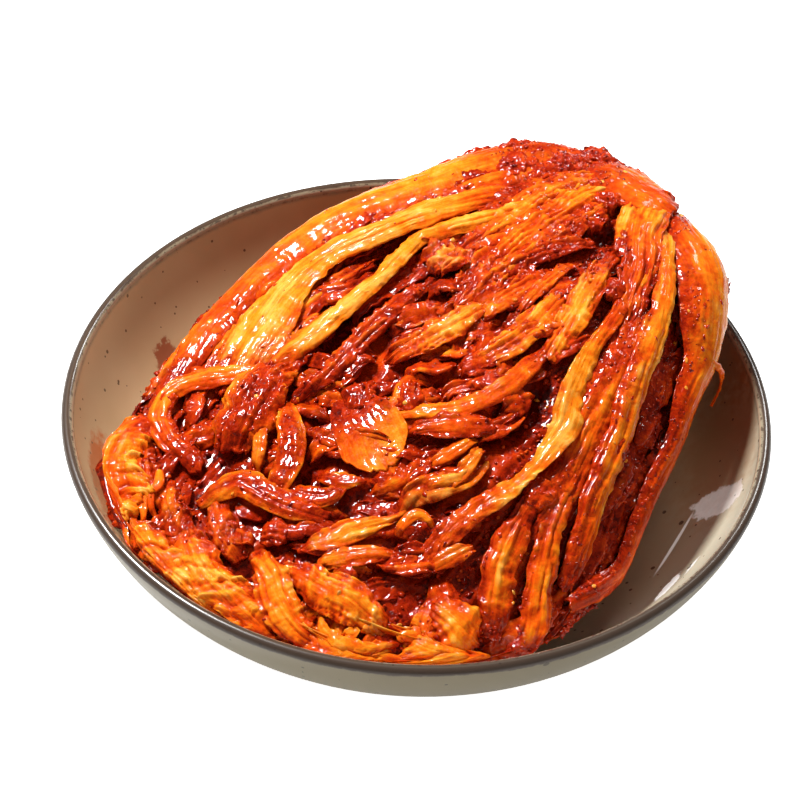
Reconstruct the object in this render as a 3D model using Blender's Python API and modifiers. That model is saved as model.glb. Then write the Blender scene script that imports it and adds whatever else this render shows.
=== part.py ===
"""Half a head of cabbage kimchi lying cut side up in a stoneware bowl.

Metres, +Z up. The origin is the middle of the bowl's foot, on the surface it stands on.
The head's root lies over the rim at +X +Y, and its leaves fan towards -X -Y.
"""

import math

import bmesh
import bpy
from mathutils import Vector, noise

# Bowl
RIM_RADIUS = 0.125
BOWL_HEIGHT = 0.062
LIP_WALL = 0.0042  # thickness of the wall at the lip
LIP_STEPS = 5
OUTER_DEPTH = 0.062  # depth at which the outer wall's curve would close
INNER_DEPTH = 0.054  # depth of the inside below the rim
WALL_FLATNESS = 1.5  # exponents of the wall's curve
WALL_ROUNDNESS = 0.30
FOOT_RADIUS = 0.060
FOOT_WIDTH = 0.0055
FOOT_HEIGHT = 0.004
RECESS_DEPTH = 0.003  # of the base inside the foot ring
WALL_STEPS = 8
BOWL_SEGMENTS = 64

# Kimchi: plan curves of the fan, as cubic Bezier points from the root to the leaf tips
LEFT_EDGE = ((0.090, 0.089), (0.027, 0.134), (-0.069, 0.094), (-0.117, -0.042))
MIDDLE = ((0.099, 0.079), (0.059, 0.041), (0.002, -0.028), (-0.056, -0.104))
RIGHT_EDGE = ((0.116, 0.057), (0.111, 0.028), (0.084, -0.054), (0.044, -0.104))
LEAF_REACH = 0.115  # the leaf tips stop here, just short of the bowl's wall
LEAF_SQUEEZE = 0.007  # over which the tips that would pass it are pressed together

# Heights above the rim along the same three curves, also from root to tips
LEFT_HEIGHT = (0.022, 0.056, -0.003, -0.012)
CROWN_HEIGHT = (0.028, 0.052, 0.018, -0.016)
RIGHT_HEIGHT = (0.010, 0.024, -0.022, -0.016)

TOP_ROUNDNESS = 0.9  # under 1 makes the shoulders fuller
SIDE_ROUNDNESS = 0.60
ROOT_SQUARENESS = 14  # how square the two ends are in plan
FRONT_SQUARENESS = 30
LEAF_ROWS = 8  # leaf ribs across the fan
RIB_HEIGHT = 0.0065
VALLEY_SHARPNESS = 0.6
FRILL_HEIGHT = 0.0060
FRILL_SCALE = 75.0
FRILL_START = 0.72  # share of the length at which the ribs give way to frills
BEDDING = 0.0006  # gap between the leaves and the glaze that they lie on
WALL_CLEARANCE = 0.0030  # the same near the lip
CLEARANCE_FROM = 0.100
HEAD_AROUND = 74
HEAD_ALONG = 44
TOP_SHARE = 0.78  # of the points around the head that lie on its upper side
END_CROWDING = 0.55  # how much closer the rings lie at the two ends

SMOOTH_ANGLE = math.radians(40)


def clear_scene():
    for obj in list(bpy.data.objects):
        bpy.data.objects.remove(obj)


def make_collection(name):
    collection = bpy.data.collections.new(name)
    bpy.context.scene.collection.children.link(collection)
    return collection


def make_material(name, colour, roughness):
    material = bpy.data.materials.new(name)
    material.use_nodes = True
    shader = material.node_tree.nodes["Principled BSDF"]
    shader.inputs["Base Color"].default_value = (*colour, 1.0)
    shader.inputs["Roughness"].default_value = roughness
    shader.inputs["Metallic"].default_value = 0.0
    return material


def make_object(name, bm, material, collection):
    mesh = bpy.data.meshes.new(name)
    bm.to_mesh(mesh)
    bm.free()
    mesh.materials.append(material)
    obj = bpy.data.objects.new(name, mesh)
    collection.objects.link(obj)
    return obj


def clamp(value, low=0.0, high=1.0):
    return max(low, min(high, value))


def smooth_step(low, high, value):
    share = clamp((value - low) / (high - low))
    return share * share * (3 - 2 * share)


def bezier(points, share):
    """Point on a cubic Bezier; the points are numbers or pairs."""
    rest = 1 - share
    weights = (rest**3, 3 * rest * rest * share, 3 * rest * share * share, share**3)
    if isinstance(points[0], tuple):
        return Vector([sum(w * p[i] for w, p in zip(weights, points)) for i in (0, 1)])
    return sum(w * p for w, p in zip(weights, points))


# ---- bowl ----


def wall_radius(depth, lip_radius, full_depth):
    """Radius of a bowl wall at a depth below the rim."""
    return lip_radius * (1 - (depth / full_depth) ** WALL_FLATNESS) ** WALL_ROUNDNESS


def wall_depth(radius, lip_radius, full_depth):
    """Depth below the rim of a bowl wall at a radius: wall_radius turned round."""
    share = clamp(radius / lip_radius)
    return full_depth * (1 - share ** (1 / WALL_ROUNDNESS)) ** (1 / WALL_FLATNESS)


def bowl_profile():
    """The section from the middle of the inside, over the lip, to the middle of the base."""
    inner_lip = RIM_RADIUS - LIP_WALL
    lip_radius = LIP_WALL / 2
    points = [(0.0, BOWL_HEIGHT - INNER_DEPTH)]
    for step in range(1, WALL_STEPS + 1):
        radius = inner_lip * math.sin(math.pi / 2 * step / WALL_STEPS)
        depth = max(wall_depth(radius, inner_lip, INNER_DEPTH), lip_radius)
        points.append((radius, BOWL_HEIGHT - depth))
    for step in range(1, LIP_STEPS):
        angle = math.pi * step / LIP_STEPS
        across = RIM_RADIUS - lip_radius - lip_radius * math.cos(angle)
        points.append((across, BOWL_HEIGHT - lip_radius + lip_radius * math.sin(angle)))
    foot_top = BOWL_HEIGHT - FOOT_HEIGHT
    for step in range(WALL_STEPS + 1):
        depth = lip_radius + (foot_top - lip_radius) * step / WALL_STEPS
        radius = wall_radius(depth, RIM_RADIUS, OUTER_DEPTH)
        points.append((max(radius, FOOT_RADIUS), BOWL_HEIGHT - depth))
    foot_inside = FOOT_RADIUS - FOOT_WIDTH
    points += [(FOOT_RADIUS, 0.0), (foot_inside, 0.0), (foot_inside - RECESS_DEPTH, RECESS_DEPTH)]
    points.append((0.0, RECESS_DEPTH))
    return points


def make_bowl(collection, material):
    bm = bmesh.new()
    verts = [bm.verts.new((radius, 0.0, height)) for radius, height in bowl_profile()]
    for first, second in zip(verts, verts[1:]):
        bm.edges.new((first, second))
    bowl = make_object("bowl", bm, material, collection)
    screw = bowl.modifiers.new("turn", "SCREW")
    screw.axis = "Z"
    screw.angle = 2 * math.pi
    screw.steps = screw.render_steps = BOWL_SEGMENTS
    screw.use_merge_vertices = True
    screw.merge_threshold = 0.00005
    screw.use_smooth_shade = True
    return bowl


# ---- kimchi ----


def across_fan(left, middle, right, across):
    """Runs from left at -1 through middle at 0 to right at +1."""
    bend = (left + right) / 2 - middle
    return middle + (right - left) / 2 * across + bend * across * across


def fan_point(along, across):
    """Plan point of the head: along from root 0 to tips 1, across from left -1 to right +1."""
    edges = [bezier(curve, along) for curve in (LEFT_EDGE, MIDDLE, RIGHT_EDGE)]
    plan = across_fan(*edges, across)
    free_reach = LEAF_REACH - LEAF_SQUEEZE
    if along > 0.5 and plan.length > free_reach:
        over = (plan.length - free_reach) / LEAF_SQUEEZE
        plan *= (LEAF_REACH - LEAF_SQUEEZE * math.exp(-over)) / plan.length
    return plan


def glaze_height(plan):
    """Lowest height that the leaves may reach over a plan point."""
    radius = plan.length
    inner_lip = RIM_RADIUS - LIP_WALL
    depth = wall_depth(radius, inner_lip, INNER_DEPTH)
    clearance = WALL_CLEARANCE * smooth_step(CLEARANCE_FROM, inner_lip, radius)
    return BOWL_HEIGHT - depth + BEDDING + clearance


def rib_relief(along, across):
    """Height of the leaf ribs: full rounded humps with narrow valleys, uneven in width."""
    drift = across + 0.10 * math.sin(3.1 * across + 1.0) + 0.05 * math.sin(5.0 * along)
    hump = abs(math.sin(math.pi * LEAF_ROWS / 2 * drift)) ** VALLEY_SHARPNESS
    fade = smooth_step(0.02, 0.20, along) * (1 - 0.7 * smooth_step(FRILL_START, 1.0, along))
    return RIB_HEIGHT * (hump - VALLEY_SHARPNESS) * fade


def frill_relief(plan, along):
    """Crumpled height of the leaf tips."""
    lumps = noise.noise(Vector((plan.x * FRILL_SCALE, plan.y * FRILL_SCALE, 0.0)))
    return FRILL_HEIGHT * lumps * smooth_step(0.6 * FRILL_START, FRILL_START, along)


def head_point(along, around, width):
    """Surface point of the head. Around is 0 at the right edge, a quarter turn at the crown
    and half a turn at the left edge; past that it runs under the head."""
    across = width * math.cos(around)
    rise = math.sin(around)
    plan = fan_point(along, across)
    left, right = bezier(LEFT_HEIGHT, along), bezier(RIGHT_HEIGHT, along)
    edge = BOWL_HEIGHT + left + (right - left) * (across + 1) / 2
    low = glaze_height(plan)
    if rise < 0:
        edge = max(edge, low)
        height = edge - (edge - low) * abs(rise) ** SIDE_ROUNDNESS * width
        return Vector((plan.x, plan.y, max(height, low)))
    crown = BOWL_HEIGHT + bezier(CROWN_HEIGHT, along)
    height = edge + (crown - edge) * rise**TOP_ROUNDNESS * width
    relief = rib_relief(along, across) + frill_relief(plan, along)
    height += relief * min(1.0, 2 * rise) * width
    return Vector((plan.x, plan.y, max(height, low)))


def turn_on_head(angle):
    """Angle round the head for an even angle round the sphere, crowded onto the upper side."""
    share = (angle / (2 * math.pi)) % 1.0
    if share <= TOP_SHARE:
        return math.pi * share / TOP_SHARE
    return math.pi + math.pi * (share - TOP_SHARE) / (1 - TOP_SHARE)


def make_kimchi(collection, material):
    bm = bmesh.new()
    bmesh.ops.create_uvsphere(bm, u_segments=HEAD_AROUND, v_segments=HEAD_ALONG, radius=1.0)
    for vert in bm.verts:
        even = math.acos(clamp(vert.co.z, -1.0, 1.0)) / math.pi
        along = even + (0.5 - 0.5 * math.cos(math.pi * even) - even) * END_CROWDING
        around = turn_on_head(math.atan2(vert.co.y, vert.co.x))
        squareness = FRONT_SQUARENESS if along > 0.5 else ROOT_SQUARENESS
        width = math.sqrt(max(0.0, 1 - abs(2 * along - 1) ** squareness))
        vert.co = head_point(along, around, width)
    bmesh.ops.reverse_faces(bm, faces=bm.faces)  # the mapping turned the sphere inside out
    kimchi = make_object("kimchi", bm, material, collection)
    kimchi.data.shade_smooth()
    kimchi.data.set_sharp_from_angle(angle=SMOOTH_ANGLE)
    return kimchi


def main():
    clear_scene()
    collection = make_collection("kimchi_in_bowl")
    stoneware = make_material("stoneware", (0.50, 0.44, 0.33), 0.35)
    cabbage = make_material("seasoned_cabbage", (0.62, 0.12, 0.015), 0.28)
    make_bowl(collection, stoneware)
    make_kimchi(collection, cabbage)


main()
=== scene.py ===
# Half a head of cabbage kimchi, cut side up in a stoneware bowl: the looks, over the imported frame.
import itertools
import math
import random

import bmesh
import bpy
import numpy as np
from mathutils import Matrix, Vector


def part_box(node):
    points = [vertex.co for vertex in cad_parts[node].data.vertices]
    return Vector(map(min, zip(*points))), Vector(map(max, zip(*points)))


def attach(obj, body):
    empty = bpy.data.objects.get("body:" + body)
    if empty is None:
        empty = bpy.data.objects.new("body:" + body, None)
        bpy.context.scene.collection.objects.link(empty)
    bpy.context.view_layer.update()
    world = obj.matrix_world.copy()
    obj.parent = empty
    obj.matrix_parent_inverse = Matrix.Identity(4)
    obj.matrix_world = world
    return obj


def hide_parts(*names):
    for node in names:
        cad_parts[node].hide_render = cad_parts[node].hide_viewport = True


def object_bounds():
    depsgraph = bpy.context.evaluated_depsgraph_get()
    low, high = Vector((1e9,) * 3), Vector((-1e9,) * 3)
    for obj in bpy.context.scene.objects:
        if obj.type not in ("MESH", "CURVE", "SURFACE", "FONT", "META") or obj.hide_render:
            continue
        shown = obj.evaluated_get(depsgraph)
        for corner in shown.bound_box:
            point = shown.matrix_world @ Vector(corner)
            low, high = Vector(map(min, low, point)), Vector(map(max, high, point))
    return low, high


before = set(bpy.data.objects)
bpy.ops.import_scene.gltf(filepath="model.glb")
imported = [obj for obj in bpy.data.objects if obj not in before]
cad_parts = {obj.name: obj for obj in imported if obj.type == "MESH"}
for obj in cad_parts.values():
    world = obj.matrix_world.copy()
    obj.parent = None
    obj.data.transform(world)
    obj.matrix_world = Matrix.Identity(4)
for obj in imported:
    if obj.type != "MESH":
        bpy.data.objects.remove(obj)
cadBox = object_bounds()
bowlLow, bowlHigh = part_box("bowl")
rimHeight = bowlHigh.z + 0.0001  # the CAD rim is faceted, the real one stands a hair higher
mm = 0.001


# ---- repeatable noise on arrays of points ----


def cellValue(cell, seed):
    mixed = (cell[..., 0] * 73856093) ^ (cell[..., 1] * 19349663) ^ (cell[..., 2] * 83492791)
    mixed = (mixed + seed * 7919) * 1274126177
    mixed = (mixed ^ (mixed >> 15)) * 668265263
    return ((mixed ^ (mixed >> 13)) & 0xFFFF) / 32767.5 - 1.0


def softNoise(points, size, seed=0):  # smooth, -1 to 1, with features about size metres across
    grid = points / size
    cell = np.floor(grid).astype(np.int64)
    part = grid - cell
    fade = part * part * (3 - 2 * part)
    total = np.zeros(points.shape[:-1])
    for corner in itertools.product((0, 1), repeat=3):
        weight = np.prod(np.where(np.array(corner) > 0, fade, 1 - fade), axis=-1)
        total += weight * cellValue(cell + np.array(corner), seed)
    return total


def roughNoise(points, size, seed=0, layers=3):
    total = np.zeros(points.shape[:-1])
    for layer in range(layers):
        total += softNoise(points, size / 2**layer, seed + 31 * layer) / 2**layer
    return total / 1.5


def lumpNoise(points, size, seed=0):  # domes: 1 at a lump's middle, 0 in the creases
    grid = points / size
    cell = np.floor(grid).astype(np.int64)
    nearest = np.full(points.shape[:-1], 9.0)
    for step in itertools.product((-1, 0, 1), repeat=3):
        other = cell + np.array(step)
        drift = np.stack([cellValue(other, seed + axis) for axis in (1, 2, 3)], axis=-1)
        nearest = np.minimum(nearest, ((grid - other - 0.5 - 0.42 * drift) ** 2).sum(axis=-1))
    return 1 - np.minimum(nearest, 1.0)


def ridgeNoise(points, size, seed=0):  # sharp crests: 1 on a crest, falling to about -1
    return 1 - 2 * np.minimum(1, 1.6 * np.abs(softNoise(points, size, seed)))


def ease(low, high, value):
    share = np.clip((value - low) / (high - low), 0.0, 1.0)
    return share * share * (3 - 2 * share)


def unit(vectors):
    return vectors / np.maximum(np.linalg.norm(vectors, axis=-1, keepdims=True), 1e-12)


# ---- the head's outer form, as the CAD has it ----

headForm = dict(
    leftEdge=((0.090, 0.089), (0.027, 0.134), (-0.069, 0.094), (-0.117, -0.042)),
    middle=((0.099, 0.079), (0.059, 0.041), (0.002, -0.028), (-0.056, -0.104)),
    rightEdge=((0.116, 0.057), (0.111, 0.028), (0.084, -0.054), (0.044, -0.104)),
    leftHeight=(0.022, 0.056, -0.003, -0.012),
    crownHeight=(0.028, 0.052, 0.018, -0.016),
    rightHeight=(0.010, 0.024, -0.022, -0.016),
    reach=0.115,  # the tips stop here, short of the wall
    squeeze=0.007,
    topRoundness=0.9,
    sideRoundness=0.6,
    rootSquareness=14,
    frontSquareness=30,
)
bowlForm = dict(
    lipWall=0.0042,
    outerDepth=0.062,
    innerDepth=0.054,
    flatness=1.5,
    roundness=0.30,
    footRadius=0.060,
    footWidth=0.0055,
    footHeight=0.004,
    recess=0.003,
)
rimRadius = 0.125
innerLip = rimRadius - bowlForm["lipWall"]


def curveAt(points, share):
    points = np.array(points)
    share = share[..., None] if points.ndim == 2 else share
    rest = 1 - share
    bend = 3 * rest * rest * share * points[1] + 3 * rest * share * share * points[2]
    return rest**3 * points[0] + bend + share**3 * points[3]


def glazeDepth(radius):
    share = np.clip(radius / innerLip, 0.0, 1.0)
    inside = 1 - share ** (1 / bowlForm["roundness"])
    return bowlForm["innerDepth"] * inside ** (1 / bowlForm["flatness"])


def headPoint(along, turn):
    # along runs from the root at 0 to the tips at 1; turn is -1 at the left edge, 0 on the
    # crown, 1 at the right edge, and beyond that it goes down the head's side
    along, turn = np.broadcast_arrays(np.asarray(along, float), np.asarray(turn, float))
    form = headForm
    around = math.pi / 2 * (1 - turn)
    square = np.where(along > 0.5, form["frontSquareness"], form["rootSquareness"])
    width = np.sqrt(np.clip(1 - np.abs(2 * along - 1) ** square, 0, 1))
    across = width * np.cos(around)
    rise = np.sin(around)
    left, centre, right = (curveAt(form[name], along) for name in ("leftEdge", "middle", "rightEdge"))
    side = across[..., None]
    plan = centre + (right - left) / 2 * side + ((left + right) / 2 - centre) * side * side
    radius = np.linalg.norm(plan, axis=-1)
    over = np.clip((radius - form["reach"] + form["squeeze"]) / form["squeeze"], 0, 60)
    pressed = form["reach"] - form["squeeze"] * np.exp(-over)
    plan = plan * np.where((along > 0.5) & (over > 0), pressed / np.maximum(radius, 1e-9), 1.0)[..., None]
    radius = np.linalg.norm(plan, axis=-1)
    leftHeight, rightHeight = curveAt(form["leftHeight"], along), curveAt(form["rightHeight"], along)
    edge = rimHeight + leftHeight + (rightHeight - leftHeight) * (across + 1) / 2
    low = rimHeight - glazeDepth(radius) + 0.0006 + 0.003 * ease(0.100, innerLip, radius)
    crown = rimHeight + curveAt(form["crownHeight"], along)
    top = edge + (crown - edge) * np.abs(rise) ** form["topRoundness"] * width
    edge = np.maximum(edge, low)
    under = edge - (edge - low) * np.abs(rise) ** form["sideRoundness"] * width
    height = np.maximum(np.where(rise >= 0, top, under), low)
    return np.stack([plan[..., 0], plan[..., 1], height], axis=-1)


def headNormal(along, turn):
    step = 0.01
    along = np.clip(along, 0.02, 0.98)
    down = headPoint(along + step, turn) - headPoint(along - step, turn)
    side = headPoint(along, turn + step) - headPoint(along, turn - step)
    return unit(np.cross(down, side))


# ---- mesh helpers ----


def newObject(name, mesh, material):
    obj = bpy.data.objects.new(name, mesh)
    bpy.context.scene.collection.objects.link(obj)
    mesh.materials.append(material)
    mesh.shade_smooth()
    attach(obj, "root")
    return obj


def coordinatesOf(mesh):
    flat = np.empty(len(mesh.vertices) * 3)
    mesh.vertices.foreach_get("co", flat)
    return flat.reshape(-1, 3)


def placeVertices(mesh, points):
    mesh.vertices.foreach_set("co", points.astype(np.float32).ravel())
    mesh.update()


def addValue(mesh, name, values):
    layer = mesh.attributes.new(name, "FLOAT", "POINT")
    layer.data.foreach_set("value", values.astype(np.float32))


def addVector(mesh, name, values):
    layer = mesh.attributes.new(name, "FLOAT_VECTOR", "POINT")
    layer.data.foreach_set("vector", values.astype(np.float32).ravel())


# ---- shader helpers ----


def newMaterial(name):
    material = bpy.data.materials.new(name)
    material.use_nodes = True
    return material, material.node_tree, material.node_tree.nodes["Principled BSDF"]


def addNode(tree, kind, **settings):
    node = tree.nodes.new(kind)
    for key, value in settings.items():
        if key in node.inputs:
            node.inputs[key].default_value = value
        else:
            setattr(node, key, value)
    return node


def link(tree, source, target):
    tree.links.new(source, target)


def mathNode(tree, operation, first, second=None, clamp=False):
    node = tree.nodes.new("ShaderNodeMath")
    node.operation = operation
    node.use_clamp = clamp
    for socket, value in zip(node.inputs, (first, second)):
        if isinstance(value, (int, float)):
            socket.default_value = value
        elif value is not None:
            tree.links.new(value, socket)
    return node.outputs[0]


def rampNode(tree, factor, stops, smooth=False):
    node = tree.nodes.new("ShaderNodeValToRGB")
    ramp = node.color_ramp
    ramp.interpolation = "EASE" if smooth else "LINEAR"
    while len(ramp.elements) < len(stops):
        ramp.elements.new(0.5)
    for element, (position, colour) in zip(ramp.elements, stops):
        element.position = position
        element.color = (*colour, 1.0) if len(colour) == 3 else colour
    tree.links.new(factor, node.inputs["Fac"])
    return node.outputs["Color"]


def mixColour(tree, factor, first, second, blend="MIX"):
    node = tree.nodes.new("ShaderNodeMix")
    node.data_type = "RGBA"
    node.blend_type = blend
    for socket, value in ((node.inputs[0], factor), (node.inputs[6], first), (node.inputs[7], second)):
        if isinstance(value, bpy.types.NodeSocket):
            tree.links.new(value, socket)
        else:
            socket.default_value = value if isinstance(value, (int, float)) else (*value, 1.0)
    return node.outputs[2]


def rangeNode(tree, value, low, high, outLow=0.0, outHigh=1.0, smooth=True):
    node = tree.nodes.new("ShaderNodeMapRange")
    node.interpolation_type = "SMOOTHSTEP" if smooth else "LINEAR"
    for name, number in zip(("From Min", "From Max", "To Min", "To Max"), (low, high, outLow, outHigh)):
        node.inputs[name].default_value = number
    tree.links.new(value, node.inputs["Value"])
    return node.outputs["Result"]


def groupSockets(group, inputs, outputs):
    for name, kind, value in inputs:
        socket = group.interface.new_socket(name, in_out="INPUT", socket_type=kind)
        if value is not None:
            socket.default_value = value
    for name, kind in outputs:
        group.interface.new_socket(name, in_out="OUTPUT", socket_type=kind)
    return group.nodes.new("NodeGroupInput"), group.nodes.new("NodeGroupOutput")


def placeGroup(tree, group, **values):
    node = tree.nodes.new("ShaderNodeGroup")
    node.node_tree = group
    for name, value in values.items():
        node.inputs[name].default_value = value
    return node


# ---- chili paste and leaf finishes ----

pasteFinish = dict(
    darkest=(0.085, 0.002, 0.0003),
    dark=(0.27, 0.010, 0.0006),
    middle=(0.41, 0.021, 0.001),
    bright=(0.65, 0.060, 0.002),
    flakeSize=2.1 * mm,
    gritSize=0.8 * mm,
)
leafFinish = dict(
    cream=(0.90, 0.40, 0.06),
    yellow=(0.88, 0.235, 0.008),
    orange=(0.80, 0.105, 0.003),
    rust=(0.56, 0.040, 0.0015),
    red=(0.32, 0.013, 0.001),
)


def makePasteGroup():
    group = bpy.data.node_groups.new("chiliPaste", "ShaderNodeTree")
    ins, outs = groupSockets(group, [("Shift", "NodeSocketFloat", 0.0)], [("Color", "NodeSocketColor"), ("Height", "NodeSocketFloat")])
    place = group.nodes.new("ShaderNodeTexCoord").outputs["Object"]
    bend = addNode(group, "ShaderNodeTexNoise", Scale=160.0, Detail=2.0)
    link(group, place, bend.inputs["Vector"])
    shift = group.nodes.new("ShaderNodeVectorMath")
    shift.operation = "MULTIPLY_ADD"
    link(group, bend.outputs["Color"], shift.inputs[0])
    shift.inputs[1].default_value = (0.004, 0.004, 0.004)
    link(group, place, shift.inputs[2])
    flake = addNode(group, "ShaderNodeTexVoronoi", Scale=1 / pasteFinish["flakeSize"])
    grit = addNode(group, "ShaderNodeTexVoronoi", Scale=1 / pasteFinish["gritSize"])
    broad = addNode(group, "ShaderNodeTexNoise", Scale=60.0, Detail=3.0)
    for node in (flake, grit, broad):
        link(group, shift.outputs[0], node.inputs["Vector"])
    split = group.nodes.new("ShaderNodeSeparateColor")
    link(group, flake.outputs["Color"], split.inputs[0])
    splitGrit = group.nodes.new("ShaderNodeSeparateColor")
    link(group, grit.outputs["Color"], splitGrit.inputs[0])
    shade = mathNode(group, "MULTIPLY", split.outputs[0], 0.34)
    shade = mathNode(group, "ADD", shade, mathNode(group, "MULTIPLY", splitGrit.outputs[1], 0.20))
    shade = mathNode(group, "ADD", shade, mathNode(group, "MULTIPLY", broad.outputs["Fac"], 0.65))
    shade = mathNode(group, "ADD", shade, ins.outputs["Shift"])
    finish = pasteFinish
    stops = [(0.22, finish["darkest"]), (0.45, finish["dark"]), (0.68, finish["middle"]), (0.98, finish["bright"])]
    link(group, rampNode(group, shade, stops), outs.inputs["Color"])
    dome = mathNode(group, "SUBTRACT", 1.0, flake.outputs["Distance"])
    grain = mathNode(group, "MULTIPLY", mathNode(group, "SUBTRACT", 1.0, grit.outputs["Distance"]), 0.22)
    link(group, mathNode(group, "ADD", dome, grain), outs.inputs["Height"])
    return group


def makeFibreGroup():
    group = bpy.data.node_groups.new("leafFibre", "ShaderNodeTree")
    ins, outs = groupSockets(group, [("Coarse", "NodeSocketFloat", 700.0)], [("Streak", "NodeSocketFloat"), ("Height", "NodeSocketFloat")])
    place = addNode(group, "ShaderNodeAttribute", attribute_name="leafPlace").outputs["Vector"]
    stretch = group.nodes.new("ShaderNodeVectorMath")
    stretch.operation = "MULTIPLY"
    link(group, place, stretch.inputs[0])
    stretch.inputs[1].default_value = (75.0, 1500.0, 1.0)
    fine = addNode(group, "ShaderNodeTexNoise", Scale=1.0, Detail=2.0, Roughness=0.6, Distortion=0.4)
    link(group, stretch.outputs[0], fine.inputs["Vector"])
    wide = group.nodes.new("ShaderNodeVectorMath")
    wide.operation = "MULTIPLY"
    link(group, place, wide.inputs[0])
    wide.inputs[1].default_value = (35.0, 420.0, 1.0)
    broad = addNode(group, "ShaderNodeTexNoise", Scale=1.0, Detail=3.0, Roughness=0.55)
    link(group, wide.outputs[0], broad.inputs["Vector"])
    streak = mathNode(group, "ADD", mathNode(group, "MULTIPLY", fine.outputs["Fac"], 0.55), mathNode(group, "MULTIPLY", broad.outputs["Fac"], 0.55))
    link(group, rangeNode(group, streak, 0.35, 0.75), outs.inputs["Streak"])
    link(group, fine.outputs["Fac"], outs.inputs["Height"])
    return group


pasteGroup = makePasteGroup()
fibreGroup = makeFibreGroup()


def makeCabbageMaterial(name, wetness=0.62, translucency=0.22):
    material, tree, shader = newMaterial(name)
    paste = placeGroup(tree, pasteGroup)
    fibre = placeGroup(tree, fibreGroup)
    tone = addNode(tree, "ShaderNodeAttribute", attribute_name="tone").outputs["Fac"]
    cover = addNode(tree, "ShaderNodeAttribute", attribute_name="paste").outputs["Fac"]
    place = tree.nodes.new("ShaderNodeTexCoord").outputs["Object"]
    blotch = addNode(tree, "ShaderNodeTexNoise", Scale=210.0, Detail=4.0, Roughness=0.6)
    link(tree, place, blotch.inputs["Vector"])
    shade = mathNode(tree, "ADD", tone, mathNode(tree, "MULTIPLY", mathNode(tree, "SUBTRACT", fibre.outputs["Streak"], 0.5), -0.22))
    shade = mathNode(tree, "ADD", shade, mathNode(tree, "MULTIPLY", mathNode(tree, "SUBTRACT", blotch.outputs["Fac"], 0.5), 0.75), clamp=True)
    colours = leafFinish
    stops = [(0.0, colours["cream"]), (0.25, colours["yellow"]), (0.52, colours["orange"]), (0.78, colours["rust"]), (1.0, colours["red"])]
    leafColour = rampNode(tree, shade, stops)
    fleck = addNode(tree, "ShaderNodeTexNoise", Scale=430.0, Detail=3.0)
    link(tree, place, fleck.inputs["Vector"])
    edge = mathNode(tree, "ADD", cover, mathNode(tree, "MULTIPLY", mathNode(tree, "SUBTRACT", fleck.outputs["Fac"], 0.5), 0.40))
    mask = rangeNode(tree, edge, 0.10, 0.66)
    # the paste darkens where the tone runs red; in the bed's deep dips this is painted shade
    link(tree, mathNode(tree, "MULTIPLY", mathNode(tree, "SUBTRACT", 0.62, tone), 0.45), paste.inputs["Shift"])
    link(tree, mixColour(tree, mask, leafColour, paste.outputs["Color"]), shader.inputs["Base Color"])
    link(tree, rangeNode(tree, mask, 0.0, 1.0, 0.34, 0.26, smooth=False), shader.inputs["Roughness"])
    pasteHeight = mathNode(tree, "MULTIPLY", paste.outputs["Height"], mask)
    fibreHeight = mathNode(tree, "MULTIPLY", fibre.outputs["Height"], mathNode(tree, "SUBTRACT", 1.1, mask))
    height = mathNode(tree, "ADD", mathNode(tree, "MULTIPLY", pasteHeight, 0.55), mathNode(tree, "MULTIPLY", fibreHeight, 0.18))
    crumple = addNode(tree, "ShaderNodeTexNoise", Scale=420.0, Detail=2.0, Roughness=0.5, Distortion=0.6)
    link(tree, place, crumple.inputs["Vector"])
    height = mathNode(tree, "ADD", height, mathNode(tree, "MULTIPLY", crumple.outputs["Fac"], 0.9))
    bump = addNode(tree, "ShaderNodeBump", Strength=0.75, Distance=0.5 * mm)
    link(tree, height, bump.inputs["Height"])
    link(tree, bump.outputs["Normal"], shader.inputs["Normal"])
    shader.inputs["Subsurface Weight"].default_value = translucency
    shader.inputs["Subsurface Radius"].default_value = (1.0, 0.30, 0.06)
    shader.inputs["Subsurface Scale"].default_value = 2.2 * mm
    shader.inputs["IOR"].default_value = 1.10
    link(tree, rangeNode(tree, mask, 0.0, 1.0, 0.55 * wetness, wetness, smooth=False), shader.inputs["Coat Weight"])
    shader.inputs["Coat Roughness"].default_value = 0.05
    shader.inputs["Coat IOR"].default_value = 1.42
    return material


cabbageMaterial = makeCabbageMaterial("seasonedCabbage")
print("finishes ready")


# ---- camera, floor and light ----

viewSettings = dict(
    aim=(-0.0061, -0.0022, 0.0620),
    elevation=43.85,
    roll=2.6,
    distance=0.80,
    lens=102.1,
)
lightSettings = dict(
    keyPlace=(-0.52, 0.42, 1.10),
    keySize=0.28,
    keyPower=27.5,
    fillPlace=(0.55, -0.75, 0.75),
    fillSize=1.1,
    fillPower=3.0,
    backPlace=(0.42, 0.80, 0.85),
    backSize=0.22,
    backPower=3.5,
    sky=(1.0, 0.92, 0.84),
    skyPower=0.11,
    floor=(0.86, 0.86, 0.85),
    floorGlow=0.27,
    floorSeen=0.95,  # the floor as the camera sees it, paler than it lights the bowl
)


def makeCamera():
    settings = viewSettings
    tilt = math.radians(settings["elevation"])
    forward = Vector((0, math.cos(tilt), -math.sin(tilt)))
    place = Vector(settings["aim"]) - forward * settings["distance"]
    camera = bpy.data.cameras.new("tableCamera")
    camera.lens = settings["lens"]
    camera.sensor_width = 36
    holder = bpy.data.objects.new("tableCamera", camera)
    bpy.context.scene.collection.objects.link(holder)
    turned = forward.to_track_quat("-Z", "Y").to_matrix() @ Matrix.Rotation(math.radians(settings["roll"]), 3, "Z")
    holder.matrix_world = Matrix.Translation(place) @ turned.to_4x4()
    bpy.context.scene.camera = holder


def addSoftbox(name, place, size, power, mirrored=True):
    lamp = bpy.data.lights.new(name, "AREA")
    lamp.energy = power
    lamp.size = size
    holder = bpy.data.objects.new(name, lamp)
    bpy.context.scene.collection.objects.link(holder)
    holder.location = place
    holder.rotation_euler = (Vector((0, 0, rimHeight)) - Vector(place)).to_track_quat("-Z", "Y").to_euler()
    holder.visible_glossy = mirrored


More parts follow.
